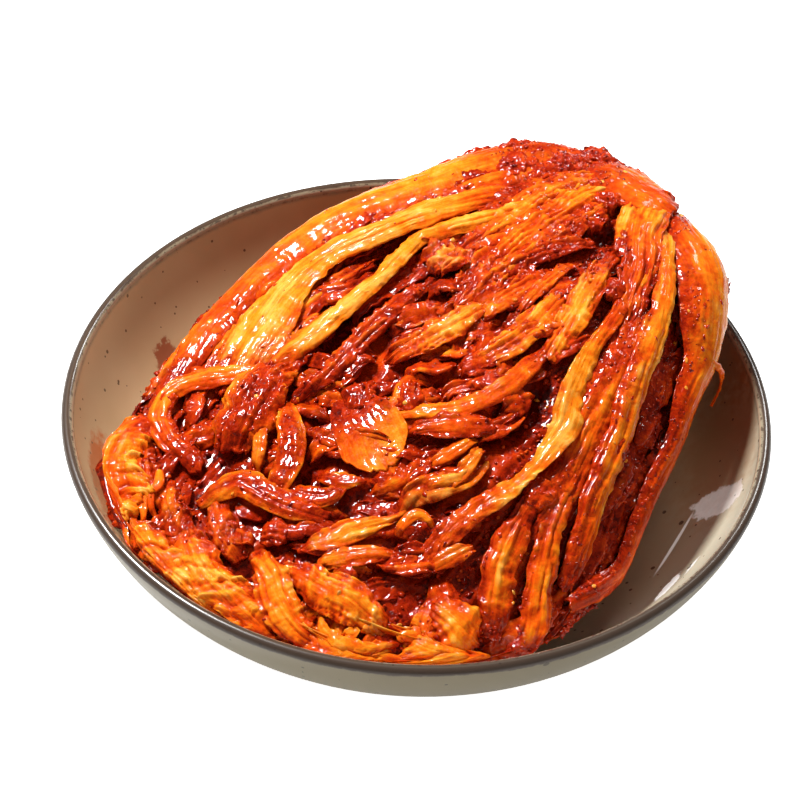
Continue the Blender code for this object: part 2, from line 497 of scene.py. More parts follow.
def makeStudio():
    settings = lightSettings
    addSoftbox("keySoftbox", settings["keyPlace"], settings["keySize"], settings["keyPower"])
    addSoftbox("fillSoftbox", settings["fillPlace"], settings["fillSize"], settings["fillPower"], mirrored=False)
    addSoftbox("backSoftbox", settings["backPlace"], settings["backSize"], settings["backPower"])
    world = bpy.data.worlds.new("studioSky")
    world.use_nodes = True
    background = world.node_tree.nodes["Background"]
    background.inputs["Color"].default_value = (*settings["sky"], 1)
    background.inputs["Strength"].default_value = settings["skyPower"]
    bpy.context.scene.world = world
    bpy.context.scene.view_settings.view_transform = "Standard"
    mesh = bpy.data.meshes.new("paleTable")
    bm = bmesh.new()
    bmesh.ops.create_grid(bm, x_segments=1, y_segments=1, size=3)
    bmesh.ops.translate(bm, verts=bm.verts, vec=(0, 0, cadBox[0].z))
    bm.to_mesh(mesh)
    bm.free()
    material, tree, shader = newMaterial("paleTable")
    shader.inputs["Base Color"].default_value = (*settings["floor"], 1)
    shader.inputs["Roughness"].default_value = 0.8
    seen = tree.nodes.new("ShaderNodeLightPath").outputs["Is Camera Ray"]
    glow = mixColour(tree, seen, [settings["floorGlow"]] * 3, [settings["floorSeen"]] * 3)
    link(tree, glow, shader.inputs["Emission Color"])
    shader.inputs["Emission Strength"].default_value = 1.0
    mesh.materials.append(material)
    floor = bpy.data.objects.new("paleTable", mesh)
    bpy.context.scene.collection.objects.link(floor)


makeCamera()
makeStudio()
print("camera, floor and light ready")


# ---- the stoneware bowl ----

bowlGlaze = dict(
    around=144,
    wallSteps=40,
    lipSteps=10,
    # warm orange, partly painted light bounced off the kimchi
    inside=(0.62, 0.43, 0.24),
    insideDeep=(0.54, 0.35, 0.18),
    band=(0.27, 0.24, 0.165),
    lipLine=(0.50, 0.36, 0.24),
    ironEdge=(0.052, 0.030, 0.021),
    insideCool=(0.42, 0.37, 0.26),
    # painted light on the wall by the rim at the lower right, where the lamp strikes
    paintedLightNearRim=(0.66, 0.62, 0.48),
    outside=(0.225, 0.186, 0.112),
    foot=(0.36, 0.30, 0.22),
    speck=(0.035, 0.022, 0.015),
)

glazeMarksAndReflections = [
    # patches on the glaze, in m from the bowl's middle: painted reflections of a window in a wet film, which also glow,
    # then a stain, a painted orange-brown reflection of the kimchi, a splash and juice
    dict(centre=(.108, -.024, .040), reach=(.013, .007, .013), turn=-35, colour=(.72, .68, .64), strength=1, ragged=1.1, edge=.10, reflectionGlow=.22),
    dict(centre=(.093, -.034, .028), reach=(.0150, .0006, .01), turn=62, colour=(.75, .70, .65), strength=.9, ragged=.3, edge=.3, reflectionGlow=.3),
    dict(centre=(.088, -.062, .037), reach=(.008, .0016, .006), turn=55, colour=(.9, .88, .84), strength=1, ragged=1.2, edge=.15, reflectionGlow=.55),
    dict(centre=(.096, -.055, .045), reach=(.006, .0010, .006), turn=55, colour=(.9, .88, .84), strength=1, ragged=.8, edge=.2, reflectionGlow=.5),
    dict(centre=(.112, .038, .054), reach=(.012, .020, .012), turn=0, colour=(.22, .07, .02), strength=.55, ragged=1.6, edge=.5),
    # a painted orange-brown reflection of the kimchi in the glaze
    dict(centre=(.110, .002, .040), reach=(.016, .030, .026), turn=0, colour=(.34, .15, .045), strength=.6, ragged=.8, edge=.6),
    dict(centre=(-.095, .045, .034), reach=(.004, .007, .007), turn=0, colour=(.26, .03, .006), strength=.8, ragged=1.8, edge=.15),
    dict(centre=(-.108, -.034, .044), reach=(.012, .030, .0055), turn=0, colour=(.50, .085, .006), strength=.9, ragged=.7, edge=.2),
    dict(centre=(-.086, -.074, .045), reach=(.020, .020, .0045), turn=0, colour=(.50, .085, .006), strength=.9, ragged=.8, edge=.2),
]


def markMask(tree, place, noise, mark):
    move = tree.nodes.new("ShaderNodeVectorMath")
    move.operation = "SUBTRACT"
    link(tree, place, move.inputs[0])
    move.inputs[1].default_value = mark["centre"]
    spin = addNode(tree, "ShaderNodeVectorRotate", rotation_type="Z_AXIS", Angle=math.radians(-mark["turn"]))
    link(tree, move.outputs[0], spin.inputs["Vector"])
    scale = tree.nodes.new("ShaderNodeVectorMath")
    scale.operation = "DIVIDE"
    link(tree, spin.outputs[0], scale.inputs[0])
    scale.inputs[1].default_value = mark["reach"]
    size = tree.nodes.new("ShaderNodeVectorMath")
    size.operation = "LENGTH"
    link(tree, scale.outputs[0], size.inputs[0])
    uneven = mathNode(tree, "MULTIPLY", mathNode(tree, "SUBTRACT", noise, 0.5), mark["ragged"])
    away = mathNode(tree, "ADD", size.outputs["Value"], uneven)
    return rangeNode(tree, away, 1 - mark["edge"], 1 + mark["edge"], mark["strength"], 0.0)


def wallRadius(depth, fullDepth, lipRadius):
    share = 1 - np.clip(depth / fullDepth, 0, 1) ** bowlForm["flatness"]
    return lipRadius * share ** bowlForm["roundness"]


def bowlProfile():
    # radius, height and signed distance from the top of the lip, inside first
    form = bowlForm
    crowd = (1 - np.cos(np.linspace(0, math.pi, bowlGlaze["wallSteps"]))) / 2
    half = form["lipWall"] / 2
    lipTurn = np.linspace(0, math.pi, bowlGlaze["lipSteps"])
    lipCentre = rimRadius - half
    lip = [(lipCentre - half * math.cos(a), rimHeight - half + half * math.sin(a)) for a in lipTurn]
    innerDepth = half + (form["innerDepth"] - half) * crowd[::-1]
    innerR = wallRadius(innerDepth, form["innerDepth"], innerLip) * innerLip / wallRadius(half, form["innerDepth"], innerLip)
    inner = list(zip(innerR, rimHeight - innerDepth))
    outerDepth = half + (form["outerDepth"] - half) * crowd
    outerR = wallRadius(outerDepth, form["outerDepth"], rimRadius) * rimRadius / wallRadius(half, form["outerDepth"], rimRadius)
    keep = outerR > form["footRadius"] + 0.001
    outer = list(zip(outerR[keep], rimHeight - outerDepth[keep]))
    foot = form["footRadius"]
    recess = foot - form["footWidth"]
    ring = [(foot, form["footHeight"] * 0.55), (foot - 0.0006, 0.0005), (foot - 0.0014, 0.0), (recess + 0.0014, 0.0)]
    ring += [(recess + 0.0006, 0.0005), (recess, form["recess"] * 0.6), (recess - 0.002, form["recess"]), (0.0, form["recess"])]
    inner[0] = (0.0, inner[0][1])
    points = inner[:-1] + lip + outer[1:] + ring
    points = np.array(points)
    steps = np.linalg.norm(np.diff(points, axis=0), axis=1)
    travel = np.concatenate([[0], np.cumsum(steps)])
    top = travel[len(inner) - 1 + bowlGlaze["lipSteps"] // 2]
    return points, top - travel


def makeBowlMaterial():
    material, tree, shader = newMaterial("stonewareGlaze")
    settings = bowlGlaze
    side = addNode(tree, "ShaderNodeAttribute", attribute_name="fromLip").outputs["Fac"]
    place = tree.nodes.new("ShaderNodeTexCoord").outputs["Object"]
    mottle = addNode(tree, "ShaderNodeTexNoise", Scale=420.0, Detail=4.0, Roughness=0.65)
    broad = addNode(tree, "ShaderNodeTexNoise", Scale=16.0, Detail=3.0)
    wobble = addNode(tree, "ShaderNodeTexNoise", Scale=70.0, Detail=2.0)
    for node in (mottle, broad, wobble):
        link(tree, place, node.inputs["Vector"])
    shift = mathNode(tree, "MULTIPLY", mathNode(tree, "SUBTRACT", mottle.outputs["Fac"], 0.5), 0.0016)
    shift = mathNode(tree, "ADD", shift, mathNode(tree, "MULTIPLY", mathNode(tree, "SUBTRACT", wobble.outputs["Fac"], 0.5), 0.0016))
    edge = mathNode(tree, "ADD", side, shift)
    inside = mixColour(tree, rangeNode(tree, broad.outputs["Fac"], 0.35, 0.7), settings["inside"], settings["insideDeep"])
    # the inside runs from warm orange at the upper left to grey at the lower right; the orange is partly painted light
    # bounced off the kimchi
    apart = tree.nodes.new("ShaderNodeSeparateXYZ")
    link(tree, place, apart.inputs[0])
    downRight = mathNode(tree, "SUBTRACT", apart.outputs["X"], apart.outputs["Y"])
    cool = mathNode(tree, "MULTIPLY", rangeNode(tree, downRight, 0.02, 0.16), 0.8)
    inside = mixColour(tree, cool, inside, settings["insideCool"])
    # paler near the rim at the lower right: painted light where the lamp strikes the wall
    paintedLightMask = mathNode(tree, "MULTIPLY", rangeNode(tree, apart.outputs["Z"], 0.022, 0.050), rangeNode(tree, downRight, 0.09, 0.14))
    inside = mixColour(tree, mathNode(tree, "MULTIPLY", paintedLightMask, 0.75), inside, settings["paintedLightNearRim"])
    uneven = addNode(tree, "ShaderNodeTexNoise", Scale=260.0, Detail=4.0, Roughness=0.6)
    link(tree, place, uneven.inputs["Vector"])
    # the painted reflections in the wet film also glow, through the emission
    reflectionGlow = (0.0, 0.0, 0.0)
    for mark in glazeMarksAndReflections:
        mask = markMask(tree, place, uneven.outputs["Fac"], mark)
        inside = mixColour(tree, mask, inside, mark["colour"])
        if "reflectionGlow" in mark:
            reflectionGlow = mixColour(tree, mask, reflectionGlow, [mark["reflectionGlow"] * part for part in mark["colour"]])
    reflectionGlow = mixColour(tree, rangeNode(tree, side, -0.0002, 0.0002), (0.0, 0.0, 0.0), reflectionGlow)
    link(tree, reflectionGlow, shader.inputs["Emission Color"])
    shader.inputs["Emission Strength"].default_value = 1.0
    outside = mixColour(tree, rangeNode(tree, broad.outputs["Fac"], 0.3, 0.7), settings["outside"], [c * 0.88 for c in settings["outside"]])
    colour = mixColour(tree, rangeNode(tree, side, -0.0002, 0.0002), outside, inside)
    bandMask = mathNode(tree, "MULTIPLY", rangeNode(tree, edge, 0.0010, 0.0018), rangeNode(tree, edge, 0.0036, 0.0056, 1.0, 0.0))
    colour = mixColour(tree, mathNode(tree, "MULTIPLY", bandMask, 0.8), colour, settings["band"])
    flecked = rangeNode(tree, mottle.outputs["Fac"], 0.50, 0.60)
    ironFleck = mathNode(tree, "MULTIPLY", flecked, mathNode(tree, "MULTIPLY", rangeNode(tree, side, 0.0028, 0.0052, 1.0, 0.0), rangeNode(tree, side, 0.0002, 0.0012)))
    colour = mixColour(tree, mathNode(tree, "MULTIPLY", ironFleck, 0.8), colour, settings["ironEdge"])
    ironMask = mathNode(tree, "MULTIPLY", rangeNode(tree, edge, -0.0036, -0.0026), rangeNode(tree, edge, 0.0012, 0.0020, 1.0, 0.0))
    colour = mixColour(tree, mathNode(tree, "MULTIPLY", ironMask, 0.95), colour, settings["ironEdge"])
    lipMask = mathNode(tree, "MULTIPLY", rangeNode(tree, side, 0.0020, 0.0026), rangeNode(tree, side, 0.0032, 0.0040, 1.0, 0.0))
    colour = mixColour(tree, mathNode(tree, "MULTIPLY", lipMask, 0.75), colour, settings["lipLine"])
    for scale, size, share in ((95.0, 0.055, 0.26), (210.0, 0.075, 0.20), (420.0, 0.10, 0.14)):
        spots = addNode(tree, "ShaderNodeTexVoronoi", Scale=scale, Randomness=1.0)
        link(tree, place, spots.inputs["Vector"])
        split = tree.nodes.new("ShaderNodeSeparateColor")
        link(tree, spots.outputs["Color"], split.inputs[0])
        chosen = mathNode(tree, "LESS_THAN", split.outputs[0], share)
        reach = mathNode(tree, "MULTIPLY", split.outputs[1], size * 2)
        dot = mathNode(tree, "LESS_THAN", mathNode(tree, "SUBTRACT", spots.outputs["Distance"], reach), size * 0.3)
        colour = mixColour(tree, mathNode(tree, "MULTIPLY", mathNode(tree, "MULTIPLY", chosen, dot), 0.75), colour, settings["speck"])
    link(tree, colour, shader.inputs["Base Color"])
    gloss = rangeNode(tree, side, -0.003, 0.001, 0.55, 0.20)
    link(tree, gloss, shader.inputs["Roughness"])
    bump = addNode(tree, "ShaderNodeBump", Strength=0.25, Distance=0.4 * mm)
    link(tree, broad.outputs["Fac"], bump.inputs["Height"])
    link(tree, bump.outputs["Normal"], shader.inputs["Normal"])
    shader.inputs["Coat Weight"].default_value = 0.25
    shader.inputs["Coat Roughness"].default_value = 0.12
    return material


def makeBowl():
    points, fromLip = bowlProfile()
    bm = bmesh.new()
    fromLipLayer = bm.verts.layers.float.new("fromLip")
    verts = []
    for (radius, height), distance in zip(points, fromLip):
        vert = bm.verts.new((radius, 0, height))
        vert[fromLipLayer] = distance
        verts.append(vert)
    edges = [bm.edges.new(pair) for pair in zip(verts, verts[1:])]
    spun = bmesh.ops.spin(bm, geom=verts + edges, cent=(0, 0, 0), axis=(0, 0, 1), dvec=(0, 0, 0),
                          angle=math.tau, steps=bowlGlaze["around"], use_merge=True)
    bmesh.ops.remove_doubles(bm, verts=bm.verts, dist=1e-6)
    bmesh.ops.recalc_face_normals(bm, faces=bm.faces)
    mesh = bpy.data.meshes.new("servingBowl")
    bm.to_mesh(mesh)
    bm.free()
    bowl = newObject("servingBowl", mesh, makeBowlMaterial())
    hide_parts("bowl")


makeBowl()
print("bowl ready")


# ---- leaves: strips laid over the head ----


def throughValues(values, share):  # a smooth curve through evenly spaced values
    values = np.atleast_1d(np.asarray(values, float))
    if len(values) == 1:
        return np.full(share.shape, values[0])
    place = np.clip(share, 0, 1) * (len(values) - 1)
    index = np.minimum(place.astype(int), len(values) - 2)
    part = place - index
    ends = np.concatenate([[2 * values[0] - values[1]], values, [2 * values[-1] - values[-2]]])
    a, b, c, d = (ends[index + k] for k in range(4))
    return 0.5 * (2 * b + (c - a) * part + (2 * a - 5 * b + 4 * c - d) * part**2 + (3 * b - a - 3 * c + d) * part**3)


def smoothRows(rows, times):
    for _ in range(times):
        rows = np.concatenate([rows[:1], (rows[:-2] + 2 * rows[1:-1] + rows[2:]) / 4, rows[-1:]])
    return rows


plainLeaf = dict(
    width=(3, 5, 3),  # half widths in mm from the root end to the tip
    lift=(1.0, 1.0),  # mm over the head's form
    bend=0.6,  # radians of arch from the middle to each margin, negative for a cup
    roll=0.0,
    thick=(0.9, 0.9),
    ribs=0.11,  # fine crests along the leaf, mm
    folds=0.7,  # broader ridges along the leaf, mm
    ruffle=(0.2, 0.2),  # waves of the margins, mm
    wave=8.0,
    pleat=0.0,  # folds across the leaf, mm
    pleatWave=3.2,
    lean=0.5,  # slant of the pleats
    crinkle=0.22,
    lumpy=1.0,  # height of the paste's lumps
    jag=(1.0, 3.0),  # torn length at each end, mm
    wander=0.8,
    ragged=0.16,  # share by which the margins come and go
    tone=(0.45, 0.45),  # 0 cream, 0.25 yellow, 0.5 orange, 0.8 rust, 1 red
    edgeTone=0.12,
    toneSide=0.0,  # redder towards the right margin if positive
    paste=(0.2, 0.2),
    edgePaste=0.22,
    pasteSide=0.0,  # more paste towards the right margin if positive
    dive=1.8,  # mm by which both ends sink into the paste
    hug=False,
    step=0.75,  # mm between the mesh's rows
    fine=0.42,
)


def leafPath(shape, rows):
    path = np.array(shape["path"], float)
    dense = np.linspace(0, 1, 400)
    along, turn = throughValues(path[:, 0], dense), throughValues(path[:, 1], dense)
    points = headPoint(along, turn)
    travel = np.concatenate([[0], np.cumsum(np.linalg.norm(np.diff(points, axis=0), axis=1))])
    even = np.linspace(0, travel[-1], rows)
    share = np.interp(even, travel, dense)
    return np.interp(even, travel, along), np.interp(even, travel, turn), share, travel[-1]


def leafLength(shape):
    return leafPath(shape, 2)[3]


def leafSurface(shape, u, v, top, seed):
    # world points for places on a leaf: u along 0 to 1, v across -1 to 1
    rows = 220
    along, turn, _, length = leafPath(shape, rows)
    normal = unit(smoothRows(headNormal(along, turn), 30))
    lift = throughValues(shape["lift"], np.linspace(0, 1, rows)) * mm
    centre = headPoint(along, turn) + normal * lift[:, None]
    tangent = unit(smoothRows(np.gradient(centre, axis=0), 6))
    normal = unit(normal - tangent * (normal * tangent).sum(axis=1, keepdims=True))
    across = np.cross(normal, tangent)

    half = throughValues(shape["width"], u) * mm
    flat = np.stack([u * length, v * half, np.full(u.shape, seed * 0.137)], axis=-1)
    margin = np.stack([flat[..., 0], np.sign(v) * 0.05, flat[..., 2]], axis=-1)
    half = half * (1 + shape["ragged"] * roughNoise(margin, 7 * mm, seed + 12, 3))
    jagStart, jagEnd = shape["jag"]
    tear = roughNoise(np.stack([v * half * 2, u * 0, flat[..., 2]], axis=-1), 3.5 * mm, seed, 3)
    tear = 0.5 + 0.5 * tear + 0.35 * v * v
    place = u - u * u * tear * jagEnd * mm / length + (1 - u) ** 2 * tear * jagStart * mm / length
    row = np.clip(place, 0, 1) * (rows - 1)
    low = np.minimum(row.astype(int), rows - 2)
    part = (row - low)[..., None]

    def at(values):
        return values[low] * (1 - part) + values[low + 1] * part

    bend = throughValues(shape["bend"], u)
    bend = np.where(np.abs(bend) < 0.05, 0.05, bend)
    angle = bend * v
    side = half * np.sin(angle) / bend
    rise = half * (np.cos(angle) - np.cos(bend)) / bend
    outward = np.abs(v)
    relief = -shape["ribs"] * ridgeNoise(flat * np.array([1 / 12, 1, 1]), 1.0 * mm, seed + 1)
    relief = relief + shape["folds"] * 0.6 * roughNoise(flat * np.array([1 / 7, 1, 1]), 3.4 * mm, seed + 2, 2)
    relief = relief - shape["folds"] * 0.5 * ridgeNoise(flat * np.array([1 / 8, 1, 1]), 2.1 * mm, seed + 11)
    wrinkles = ridgeNoise(flat * np.array([1, 0.6, 1]), 3.2 * mm, seed + 4) + 0.5 * ridgeNoise(flat, 1.5 * mm, seed + 13)
    relief = relief + shape["crinkle"] * wrinkles * (0.6 + 0.4 * outward)
    sway = softNoise(margin, 13 * mm, seed + 3)
    beat = np.sin(flat[..., 0] / (shape["wave"] * mm) * math.tau + 6 * sway + 1.9 * np.sign(v) + seed)
    standing = throughValues(shape["ruffle"], u) * outward**1.7 * (beat + 0.5 * softNoise(margin, 3.3 * mm, seed + 14))
    skew = flat[..., 0] + shape["lean"] * flat[..., 1] + 3.0 * mm * roughNoise(flat, 7 * mm, seed + 15, 2)
    foldPlace = np.stack([skew, 0.38 * flat[..., 1], flat[..., 2]], axis=-1)
    crease = 2.3 * np.abs(softNoise(foldPlace, shape["pleatWave"] * mm, seed + 17)) - 0.8
    crease = crease + 1.1 * np.abs(softNoise(foldPlace, 0.42 * shape["pleatWave"] * mm, seed + 18))
    standing = standing + throughValues(shape["pleat"], u) * crease * (0.35 + 0.65 * outward)
    thick = throughValues(shape["thick"], u) * (1 - 0.78 * outward**1.6) + 0.12
    cover = pasteCover(shape, flat, u, v, seed)
    lumps = 0.5 * lumpNoise(flat, 1.9 * mm, seed + 5) + 0.25 * lumpNoise(flat, 0.9 * mm, seed + 6)
    lumps = lumps + 0.55 * roughNoise(flat, 2.8 * mm, seed + 16, 3)
    coat = ease(0.30, 0.62, cover) * (0.15 + 0.42 * lumps) * shape["lumpy"]
    crest = relief + standing
    relief = relief + np.where(top, coat, -thick)
    ends = ease(0.16, 0.0, u) + ease(0.84, 1.0, u)
    rise = rise - shape["dive"] * mm * ends
    side = side + relief * mm * np.sin(angle)
    rise = rise + relief * mm * np.cos(angle) + standing * mm
    roll = throughValues(shape["roll"], u)
    side, rise = side * np.cos(roll) + rise * np.sin(roll), rise * np.cos(roll) - side * np.sin(roll)
    stand = rise / mm + throughValues(shape["lift"], u)
    side = side + shape["wander"] * mm * softNoise(np.stack([flat[..., 0], v * 0, flat[..., 2]], axis=-1), 22 * mm, seed + 7)
    if shape["hug"]:
        step = 0.004
        alongWay = (headPoint(along + step, turn) - headPoint(along - step, turn)) / (2 * step)
        turnWay = (headPoint(along, turn + step) - headPoint(along, turn - step)) / (2 * step)
        aa, at2, tt = (alongWay**2).sum(1), (alongWay * turnWay).sum(1), (turnWay**2).sum(1)
        ab, tb = (alongWay * across).sum(1), (turnWay * across).sum(1)
        det = np.maximum(aa * tt - at2**2, 1e-12)
        moveAlong, moveTurn = (ab * tt - tb * at2) / det, (tb * aa - ab * at2) / det
        alongHere = at(along[:, None])[..., 0] + side * at(moveAlong[:, None])[..., 0]
        turnHere = at(turn[:, None])[..., 0] + side * at(moveTurn[:, None])[..., 0]
        alongHere = np.clip(alongHere, 0.004, 0.996)
        turnHere = np.clip(turnHere, -1.98, 1.98)
        up = unit(headNormal(alongHere, turnHere) + at(normal))
        points = headPoint(alongHere, turnHere) + up * (rise + at(lift[:, None])[..., 0])[..., None]
    else:
        rise = rise - side * side / (2 * 0.085)
        points = at(centre) + at(across) * side[..., None] + at(normal) * rise[..., None]
    tone = throughValues(shape["tone"], u) + shape["edgeTone"] * v * v + shape["toneSide"] * v
    stain = roughNoise(flat * np.array([0.4, 1, 1]), 9 * mm, seed + 8, 3)
    # leaves lying low and hollows run redder, crests paler: partly painted shade and highlight, partly juice that
    # gathers low
    tone = tone + 0.05 + 0.30 * stain - 0.22 * crest - 0.025 * (stand - 2.5)
    return points, np.clip(tone, 0, 1), np.clip(cover - 0.09 * crest - 0.02 * (stand - 1.5), 0, 1), flat


def pasteCover(shape, flat, u, v, seed):
    cover = throughValues(shape["paste"], u)
    cover = cover + shape["pasteSide"] * v + shape["edgePaste"] * (v * v - 0.35)
    cover = cover + 0.12 * shape["dive"] * (ease(0.2, 0.0, u) + ease(0.8, 1.0, u))
    cover = cover + 0.30 * roughNoise(flat * np.array([0.5, 1, 1]), 8 * mm, seed + 9, 3)
    return cover + 0.12 * lumpNoise(flat, 2.2 * mm, seed + 10)


def leafBlank(rows, columns):  # a flat closed strip, rows along X and columns across Y
    bm = bmesh.new()
    bmesh.ops.create_grid(bm, x_segments=rows, y_segments=columns, size=1)
    skin = bmesh.ops.extrude_face_region(bm, geom=bm.faces[:])
    under = [item for item in skin["geom"] if isinstance(item, bmesh.types.BMVert)]
    bmesh.ops.translate(bm, verts=under, vec=(0, 0, -1))
    bmesh.ops.recalc_face_normals(bm, faces=bm.faces)
    blank = bpy.data.meshes.new("leafBlank")
    bm.to_mesh(blank)
    bm.free()
    return blank


def makeLeafPiece(name, leaves, material, seed=0):
    bm = bmesh.new()
    blocks = []
    for number, leaf in enumerate(leaves):
        shape = {**plainLeaf, **leaf}
        rows = int(np.clip(leafLength(shape) / (shape["step"] * mm), 10, 300))
        columns = int(np.clip(2 * max(np.atleast_1d(shape["width"])) / shape["fine"], 8, 90))
        blank = leafBlank(rows, columns)
        firstVert = len(bm.verts)
        bm.from_mesh(blank)
        bpy.data.meshes.remove(blank)
        blocks.append((firstVert, len(bm.verts), shape, seed + 17 * number))
    mesh = bpy.data.meshes.new(name)
    bm.to_mesh(mesh)
    bm.free()
    flatPlaces = coordinatesOf(mesh)
    points, tones = np.empty_like(flatPlaces), np.empty(len(flatPlaces))
    covers, places = np.empty(len(flatPlaces)), np.empty_like(flatPlaces)
    for first, last, shape, leafSeed in blocks:
        x, y, z = flatPlaces[first:last].T
        made = leafSurface(shape, (x + 1) / 2, y, z > -0.5, leafSeed)
        points[first:last], tones[first:last], covers[first:last], places[first:last] = made
    placeVertices(mesh, points)
    addValue(mesh, "tone", tones)
    addValue(mesh, "paste", covers)
    addVector(mesh, "leafPlace", places)
    piece = newObject(name, mesh, material)
    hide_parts("kimchi")
    print(name, len(leaves), "leaves,", len(mesh.polygons) * 2, "triangles")
    return piece


# ---- the bed of chili paste that fills between the leaves ----

bedShape = dict(
    around=380,
    along=250,
    depth=3.4,  # mm under the head's form
    lumps=1.0,
    dips=(  # along, turn, reach along, reach across in turns, mm deeper
        (0.27, 0.46, 0.12, 0.10, 5.5),
        (0.46, 0.64, 0.14, 0.10, 6.5),
        (0.66, 0.70, 0.12, 0.10, 6.5),
        (0.80, 0.70, 0.08, 0.08, 4.0),
        (0.57, 0.19, 0.06, 0.06, 4.0),
        (0.60, -0.42, 0.06, 0.07, 4.0),
        (0.23, -0.09, 0.03, 0.06, 5.0),
        (0.30, 0.44, 0.12, 0.04, 4.0),
    ),
)


def makeBed(material):
    shape = bedShape
    bm = bmesh.new()
    bmesh.ops.create_grid(bm, x_segments=shape["along"], y_segments=shape["around"], size=1)
    for vert in bm.verts:  # rolled into a ball, so that the seam and both poles close
        rise, round = vert.co.x, vert.co.y * math.pi
        girth = math.sqrt(max(0.0, 1 - rise * rise))
        vert.co = (girth * math.cos(round), girth * math.sin(round), rise)
    bmesh.ops.remove_doubles(bm, verts=bm.verts, dist=1e-5)
    bmesh.ops.recalc_face_normals(bm, faces=bm.faces)
    mesh = bpy.data.meshes.new("chiliPasteBed")
    bm.to_mesh(mesh)
    bm.free()
    ball = coordinatesOf(mesh)
    share = (ball[:, 2] + 1) / 2
    spin = np.arctan2(ball[:, 1], ball[:, 0]) / math.pi  # -1 to 1 around
    along = 0.008 + 0.984 * share
    turn = np.clip(1.98 * np.sign(spin) * np.abs(spin) ** 1.35, -1.98, 1.98)
    points, normal = headPoint(along, turn), headNormal(along, turn)
    depth = np.full(len(points), shape["depth"])
    for atAlong, atTurn, reachAlong, reachTurn, deeper in shape["dips"]:
        away = ((along - atAlong) / reachAlong) ** 2 + ((turn - atTurn) / reachTurn) ** 2
        depth += deeper * np.exp(-away)
    strip = np.stack([along * 0.2, turn * 0.06, points[:, 2] * 0], axis=-1)  # metres along and across the head
    pleats = ridgeNoise(strip * np.array([1 / 9, 1, 1]), 3.0 * mm, 21)
    relief = 1.3 * roughNoise(points, 9 * mm, 3, 3) + 0.9 * lumpNoise(points, 2.4 * mm, 5) + 0.7 * pleats
    relief = relief + 0.45 * lumpNoise(points, 1.2 * mm, 9) + 0.25 * softNoise(points, 0.7 * mm, 12)
    low = points[:, 2] < rimHeight - 0.02
    relief = np.where(low & (np.abs(turn) > 1.2), np.minimum(relief, 1.0), relief)
    fadeIn = ease(0.0, 0.03, share) * ease(1.0, 0.97, share)
    points = points + normal * ((relief * shape["lumps"] - depth) * mm * (0.25 + 0.75 * fadeIn))[:, None]
    placeVertices(mesh, points)
    patches = roughNoise(points, 14 * mm, 25, 2)
    # redder, and so darker paste, in the creases between pleats and where the bed dips deep between the leaves: painted
    # shade
    addValue(mesh, "tone", np.clip(0.95 - 0.15 * pleats + 0.16 * (depth - shape["depth"]), 0, 1.8))
    addValue(mesh, "paste", np.clip(0.75 + 0.5 * patches - 0.2 * pleats, 0, 1))
    addVector(mesh, "leafPlace", points)
    bed = newObject("chiliPasteBed", mesh, material)
    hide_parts("kimchi")
    print("chiliPasteBed", len(mesh.polygons) * 2, "triangles")


makeBed(cabbageMaterial)

